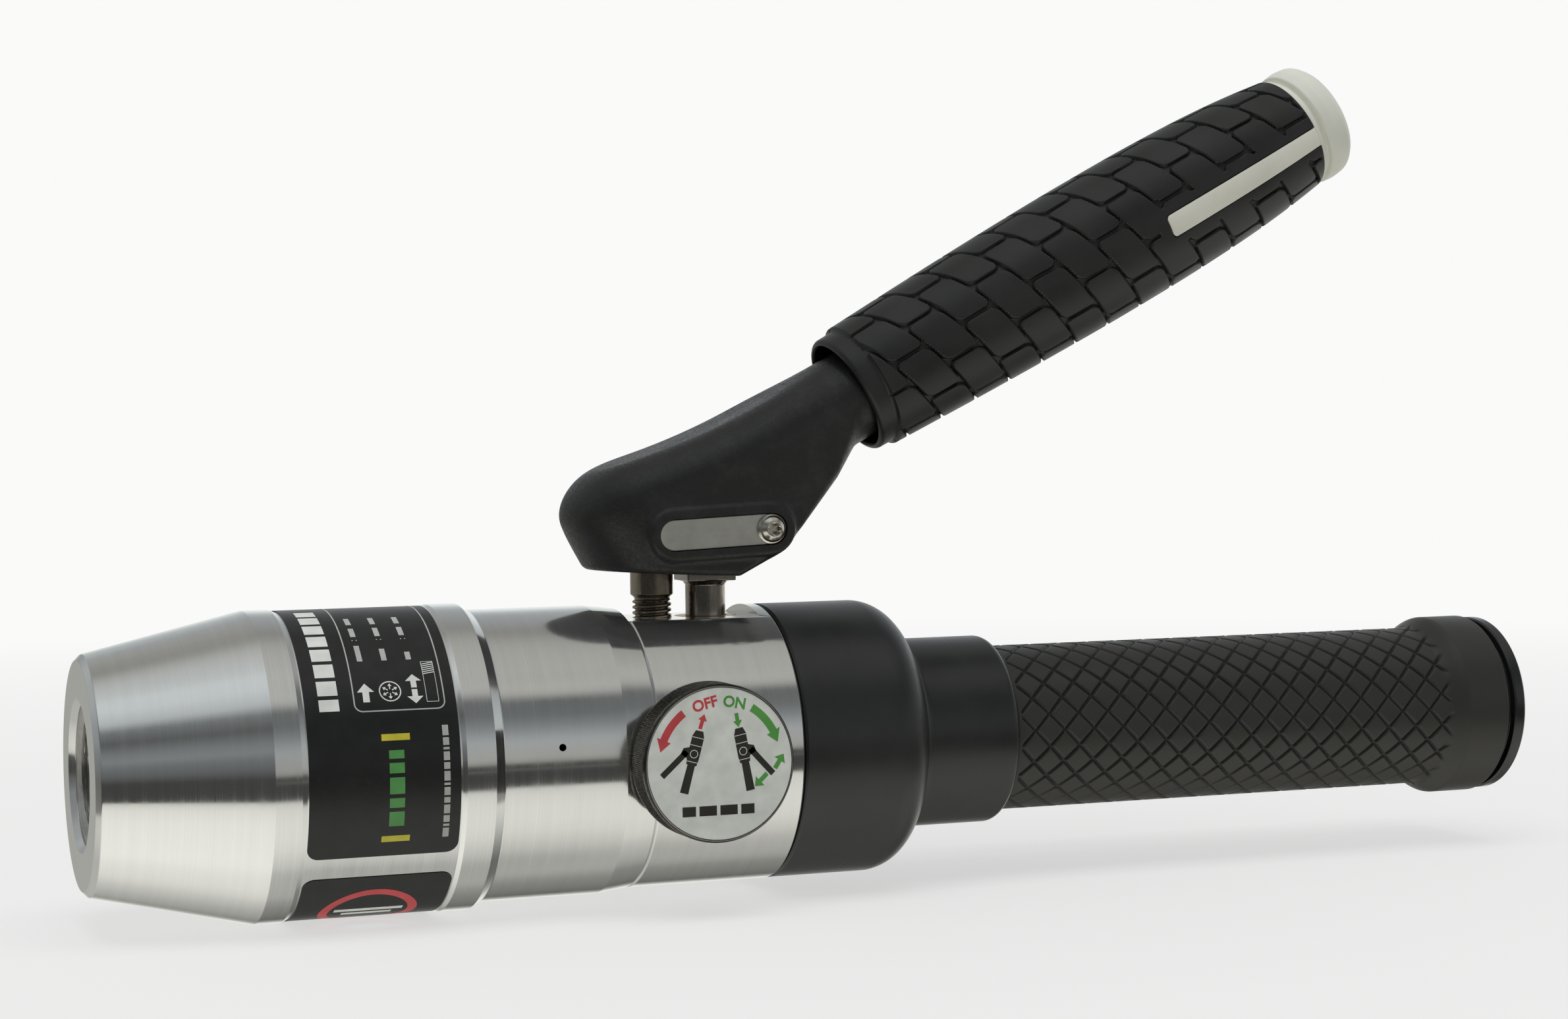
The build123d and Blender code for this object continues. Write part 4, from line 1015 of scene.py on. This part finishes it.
def printed(name, shapes, to_space, body, slot, ink, thickness=0.03, step=1.2):
    """Flat shapes cut into small faces, laid on a surface and given a little thickness."""
    bm = bmesh.new()
    for shape in shapes:
        bm.faces.new([bm.verts.new((x, y, 0)) for x, y in shape])
    bmesh.ops.remove_doubles(bm, verts=bm.verts, dist=0.004)
    y = [v.co.y for v in bm.verts]
    if step:
        slice_up(bm, 1, np.arange(math.floor(min(y)), max(y), step))
    bmesh.ops.triangulate(bm, faces=bm.faces[:])
    bm.verts.index_update()
    flat = np.array([v.co for v in bm.verts])
    triangles = [tuple(v.index for v in face.verts) for face in bm.faces]
    bm.free()
    n = len(flat)
    low, high = (to_space(flat[:, 0], flat[:, 1], lift) for lift in (0.0, thickness))
    edges = {(t[k], t[(k + 1) % 3]) for t in triangles for k in range(3)}
    walls = [(a, b, b + n, a + n) for a, b in sorted(edges) if (b, a) not in edges]
    faces = [tuple(i + n for i in t) for t in triangles] + [t[::-1] for t in triangles] + walls
    return place(built(name, np.concatenate([low, high]), faces, 40), body, slot, look=ink)


def on_land(lift):
    """x stays along the tool, y runs round the land in millimetres above the -Y side."""
    def put(x, y, extra):
        return TOOL.at(x, LAND_R + lift + extra, y / LAND_R)
    return put


def round_mm(degrees):
    return math.radians(degrees) * LAND_R


def dashes(x, y, lengths, gap, width):
    """Row of bars round the land, each as long as its number, with equal gaps."""
    row = []
    for length in lengths:
        row.append(bar(x, y, x, y + length, width))
        y += length + gap
    return row


def make_labels():
    for name, low, high, node in (("rating_film", -30.3, 118, "data_label"),
                                  ("notice_film", -106, -40.3, "warning_label")):
        y0, y1 = round_mm(low), round_mm(high)
        corners = [(41.9, y0, 2.6), (73.9, y0, 2.6), (73.9, y1, 2.6), (41.9, y1, 2.6)]
        piece = printed(name, [rounded(corners)], on_land(0.02), "tool_body", "label_film",
                        LOOKS["label_film"], 0.14)
        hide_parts(node)
    # frame of the data block with four rows of pictograms and plain bars
    grey = outline_box(52.2, round_mm(24.0), 71.6, round_mm(112), 1.8, 0.28)
    rows = (55.0, 60.2, 65.4)
    y_icon, y_text = round_mm(31), round_mm(45)
    white = arrow(rows[0], y_icon - 1.9, rows[0], y_icon + 2.4, 1.4, 2.0, 1.8)
    white += ring_shape(rows[1], y_icon + 0.4, 2.35, 2.1, 40)
    for k in range(6):
        c, s = math.cos(math.pi / 3 * k + 0.5), math.sin(math.pi / 3 * k + 0.5)
        white += arrow(rows[1] + 0.5 * c, y_icon + 0.4 + 0.5 * s, rows[1] + 1.8 * c,
                       y_icon + 0.4 + 1.8 * s, 0.22, 0.6, 0.45)
    for start, end in ((1.0, 4.2), (0.6, -2.6)):
        white += arrow(rows[2], y_icon + start, rows[2], y_icon + end, 1.2, 1.6, 1.7)
    x0, x1 = 67.7, 70.3
    white += outline_box(x0, y_icon - 2.4, x1, y_icon + 7.4, 0.12, 0.1)
    for k in range(6):
        white.append(bar(x0 + 0.1, y_icon + 4.2 + 0.5 * k, x1 - 0.1, y_icon + 4.6 + 0.5 * k, 0.2))
    for row, x in enumerate(rows):
        for start, length in ((0.0, 4.6 - 1.2 * row), (7.6, 3.2), (12.4, 3.2)):
            grey.append(bar(x, y_text + start, x, y_text + start + length, 1.15))
        for k in (-0.45, 0.45):
            grey.append(bar(x + k - 0.12, y_text + 6.4, x + k + 0.12, y_text + 6.4, 0.26))
    # plain blocks where the words stood
    white += dashes(47.0, round_mm(24.8), (2.6,) + (3.4,) * 7, 0.9, 4.2)
    green = [bar(60.3, round_mm(low), 60.3, round_mm(high), 3.2) for low, high in (
        (-18, -12.5), (-11, -7.5), (-6, 0.0), (1.5, 5.2), (6.7, 9.7))]
    yellow = [bar(60.3, round_mm(low), 60.3, round_mm(low + 2.4), 6.0) for low in (-24.2, 13.2)]
    words = (2.1, 0.5, 1.5, 1.9, 1.2, 1.7, 0.5, 2.0, 1.4, 1.8, 0.5, 1.6, 2.2)
    grey += dashes(70.9, round_mm(-23.5), words, 0.42, 1.3)
    # second film: a plain ring and two bars
    red = ring_shape(57.9, round_mm(-66), 10.6, 8.6, 72)
    pale = [bar(50.5, round_mm(-64), 65.3, round_mm(-64), 1.6),
            bar(52.5, round_mm(-68.5), 63.3, round_mm(-68.5), 1.6)]
    for name, shapes, ink in (("print_white", white, "white"), ("print_grey", grey, "grey"),
                              ("print_green", green, "green"), ("print_yellow", yellow, "yellow"),
                              ("print_red", red, "red"), ("print_pale", pale, "white")):
        printed(name, shapes, on_land(0.165), "tool_body", "label_film", INKS[ink], 0.02)


def on_dial(lift):
    def put(x, y, extra):
        return SPINDLE.flat(40.87 + lift + extra, x, y)
    return put


def curved_arrow(radius, start, end, width, head, barb):
    """Arrow along an arc about the dial's centre, angles in degrees."""
    def at(out, degrees):
        return (out * math.cos(math.radians(degrees)), out * math.sin(math.radians(degrees)))
    neck = end - math.degrees(head / radius) * (1 if end > start else -1)
    stops = np.linspace(start, neck, 12)
    low, high = radius - width / 2, radius + width / 2
    shapes = [[at(low, a), at(high, a), at(high, b), at(low, b)]
              for a, b in zip(stops[:-1], stops[1:])]
    return shapes + [[at(radius - barb, neck), at(radius + barb, neck), at(radius, end)]]


def small_tool(nose, tail, side):
    """Silhouette of the tool itself, from its nose to the end of its grip."""
    nose, tail = np.array(nose, float), np.array(tail, float)
    d = (tail - nose) / np.linalg.norm(tail - nose)
    n = np.array((-d[1], d[0])) * side
    length = np.linalg.norm(tail - nose)

    def p(along, across):
        return tuple(nose + d * along * length / 13.5 + n * across)
    dark = [[p(0, -0.85), p(0, 0.85), p(1.3, 1.35), p(5.9, 1.35), p(7.4, 1.15), p(7.4, -1.15),
             p(5.9, -1.35), p(1.3, -1.35)],
            [p(7.4, -0.85), p(7.4, 0.85), p(13.5, 0.95), p(13.5, -0.95)],
            [p(3.8, 1.35), p(6.2, 1.35), p(5.6, 2.9), p(4.3, 2.6)]]
    dark.append(bar(*p(4.9, 1.7), *p(11.2, 5.7), 1.3))
    light = [bar(*p(1.5, -1.3), *p(1.5, 1.3), 0.13), bar(*p(3.2, -1.3), *p(3.2, 1.3), 0.13),
             bar(*p(6.7, -1.2), *p(6.7, 1.2), 0.13)]
    light += ring_shape(*p(5.0, 0), 0.9, 0.76, 32)
    return dark, light


def make_dial():
    red = lettering("OFF", -3.25, 12.75, 3.25, math.radians(13))
    leaf = lettering("ON", 3.4, 12.8, 3.25, math.radians(-11))
    red += curved_arrow(13.7, 126, 167, 1.7, 2.6, 1.65)
    leaf += curved_arrow(13.7, 58, 17, 1.7, 2.6, 1.65)
    red += arrow(-4.45, 7.6, -3.4, 10.7, 0.85, 1.4, 1.0)
    leaf += arrow(3.75, 10.6, 4.25, 7.6, 0.85, 1.4, 1.0)
    leaf += arrow(12.4, -1.6, 14.4, 1.4, 1.0, 1.6, 1.4)
    leaf += arrow(10.6, -2.6, 7.8, -5.2, 1.0, 1.6, 1.4)
    dark, light = small_tool((-4.5, 7.2), (-8.2, -5.9), -1)
    dark_right, light_right = small_tool((4.3, 7.4), (6.8, -6.0), 1)
    dark += dark_right
    dark += [bar(x0, -9.9, x1, -9.9, 2.1)
             for x0, x1 in ((-8.6, -5.6), (-4.8, -0.9), (-0.1, 3.8), (4.6, 7.6))]
    light += light_right
    for name, shapes, ink, lift in (("dial_red", red, "red", 0.0), ("dial_leaf", leaf, "leaf", 0.0),
                                    ("dial_dark", dark, "dark", 0.0),
                                    ("dial_lines", light, "white", 0.021)):
        printed(name, shapes, on_dial(lift), "knob", "dial_plate", INKS[ink], 0.02, step=None)


# ------------------------------------------------------------------ stage, light and camera
def make_stage():
    floor_r = 12.0
    mesh = bpy.data.meshes.new("floor")
    mesh.from_pydata([(floor_r * math.cos(t), floor_r * math.sin(t), 0) for t in circle(96)], [],
                     [list(range(96))])
    floor = link("floor", mesh)
    floor.location = (0.17, 0, -0.0337)
    look = Look("floor_paper", (0.80, 0.80, 0.79), 0.8)
    far = look.remap(look.vector("LENGTH", look.place), 0.05, 0.9, 0.62, 1.0)
    glow = look.fill(look.node("Emission"), Color=(*PALE, 1))
    blend = look.node("MixShader")
    for socket, value in zip(blend.inputs, (far, look.shader.outputs[0], glow)):
        look.wire(value, socket)
    look.wire(blend.outputs[0], look.tree.nodes["Material Output"].inputs[0])
    floor.data.materials.append(look.mat)
    floor.visible_glossy = False
    floor.visible_diffuse = False


def make_world():
    """Studio round the object: bright table, dark gap at its edge, walls and a soft ceiling."""
    world = bpy.data.worlds.new("studio")
    bpy.context.scene.world = world
    world.use_nodes = True
    world.node_tree.nodes.clear()
    sky = Nodes(world.node_tree, "Generated")
    height = sky.remap(sky.math("ARCSINE", sky.part("Z")), -math.pi / 2, math.pi / 2)

    def bands(*stops, cool=(10, 46)):
        """Brightness by elevation in degrees, cooler between two elevations."""
        ramp = sky.node("ValToRGB")
        while len(ramp.color_ramp.elements) < len(stops):
            ramp.color_ramp.elements.new(0.5)
        for element, (degrees, value) in zip(ramp.color_ramp.elements, stops):
            red, blue = (0.94, 1.02) if cool[0] < degrees < cool[1] else (1.0, 0.94)
            element.position = (degrees + 90) / 180
            element.color = (value * red, value, value * blue, 1)
        sky.wire(height, ramp.inputs[0])
        return ramp.outputs[0]

    front = bands((-90, 0.34), (-74, 0.43), (-71, 0.54), (-63, 0.67), (-55, 0.78), (-46, 0.83),
                  (-36, 0.83), (-26, 0.78), (-20.5, 0.72), (-19, 0.05), (-7.2, 0.042),
                  (-6.4, 0.20), (-5.6, 0.042), (-3, 0.06), (-1, 0.34), (2, 0.41), (14, 0.42),
                  (19, 0.34), (25, 0.24), (33, 0.15), (44, 0.125), (50, 0.42), (54, 0.46),
                  (62, 0.42), (78, 0.44), (90, 0.42))
    left = bands((-90, 0.92), (-81, 0.97), (-66, 1.01), (-46, 0.98), (-36, 0.95), (-26, 0.87),
                 (-20.5, 0.72), (-19, 0.05), (-3, 0.045), (3, 0.12), (11, 0.17), (16, 0.24),
                 (22, 0.20), (32, 0.09), (43, 0.18), (50, 0.52), (62, 0.66), (72, 0.67),
                 (90, 0.56), cool=(0, 91))
    back = bands((-90, 0.52), (-72, 0.42), (-57, 0.27), (-41, 0.19), (-34, 0.14), (-28, 0.40),
                 (-20, 0.90), (0, 0.94), (14, 0.82), (20, 0.62), (26, 0.46), (32, 0.38),
                 (42, 0.33), (60, 0.25), (72, 0.35), (90, 0.42))
    end = bands((-90, 0.88), (-72, 0.72), (-62, 0.62), (-53, 0.55), (-30, 0.50), (-12, 0.42),
                (0, 0.36), (12, 0.32), (22, 0.40), (27, 0.45), (36, 0.36), (46, 0.33),
                (55, 0.29), (64, 0.27), (73, 0.34), (90, 0.52))
    near = sky.mix(sky.remap(sky.part("X"), 0.22, 0.02), front, left)
    behind = sky.mix(sky.remap(sky.part("X"), 0.16, -0.06), back, end)
    around = sky.mix(sky.remap(sky.part("Y"), -0.25, 0.35), near, behind)
    seen = sky.node("LightPath").outputs["Is Camera Ray"]
    light = sky.node("Background")
    sky.fill(light, Color=sky.mix(seen, around, PALE))
    sky.wire(light.outputs[0], sky.node("OutputWorld").inputs[0])


def make_lights():
    light = bpy.data.lights.new("overhead", "AREA")
    light.shape, light.size, light.size_y, light.energy = "RECTANGLE", 1.2, 0.8, 9.0
    lamp = bpy.data.objects.new("overhead", light)
    lamp.location = (0.1, -0.35, 1.3)
    lamp.rotation_euler = (math.radians(15), 0, 0)
    lamp.visible_glossy = False
    bpy.context.scene.collection.objects.link(lamp)


def make_camera():
    data = bpy.data.cameras.new("camera")
    data.lens = 4600 / 2380 * 36
    data.sensor_width = 36
    data.clip_start = 0.01
    camera = bpy.data.objects.new("camera", data)
    bpy.context.scene.collection.objects.link(camera)
    ahead = Vector((0.35459, 0.93451, -0.03084)).normalized()
    down = Vector((-0.02321, -0.02417, -0.99944))
    right = down.cross(ahead).normalized()
    down = ahead.cross(right)
    camera.matrix_world = Matrix((
        (right.x, -down.x, -ahead.x, -0.0859), (right.y, -down.y, -ahead.y, -0.6458),
        (right.z, -down.z, -ahead.z, 0.0736), (0, 0, 0, 1)))
    bpy.context.scene.camera = camera
    bpy.context.scene.view_settings.view_transform = "Standard"


make_camera()
make_world()
make_lights()
make_stage()
make_cylinder()
make_ram()
make_block()
make_post()
make_plunger()
make_springs()
make_knob()
make_cover()
make_rear_grip()
make_end_plug()
make_head()
make_plate()
make_lever_grip()
make_inlays()
make_end_cap()
make_labels()
make_dial()
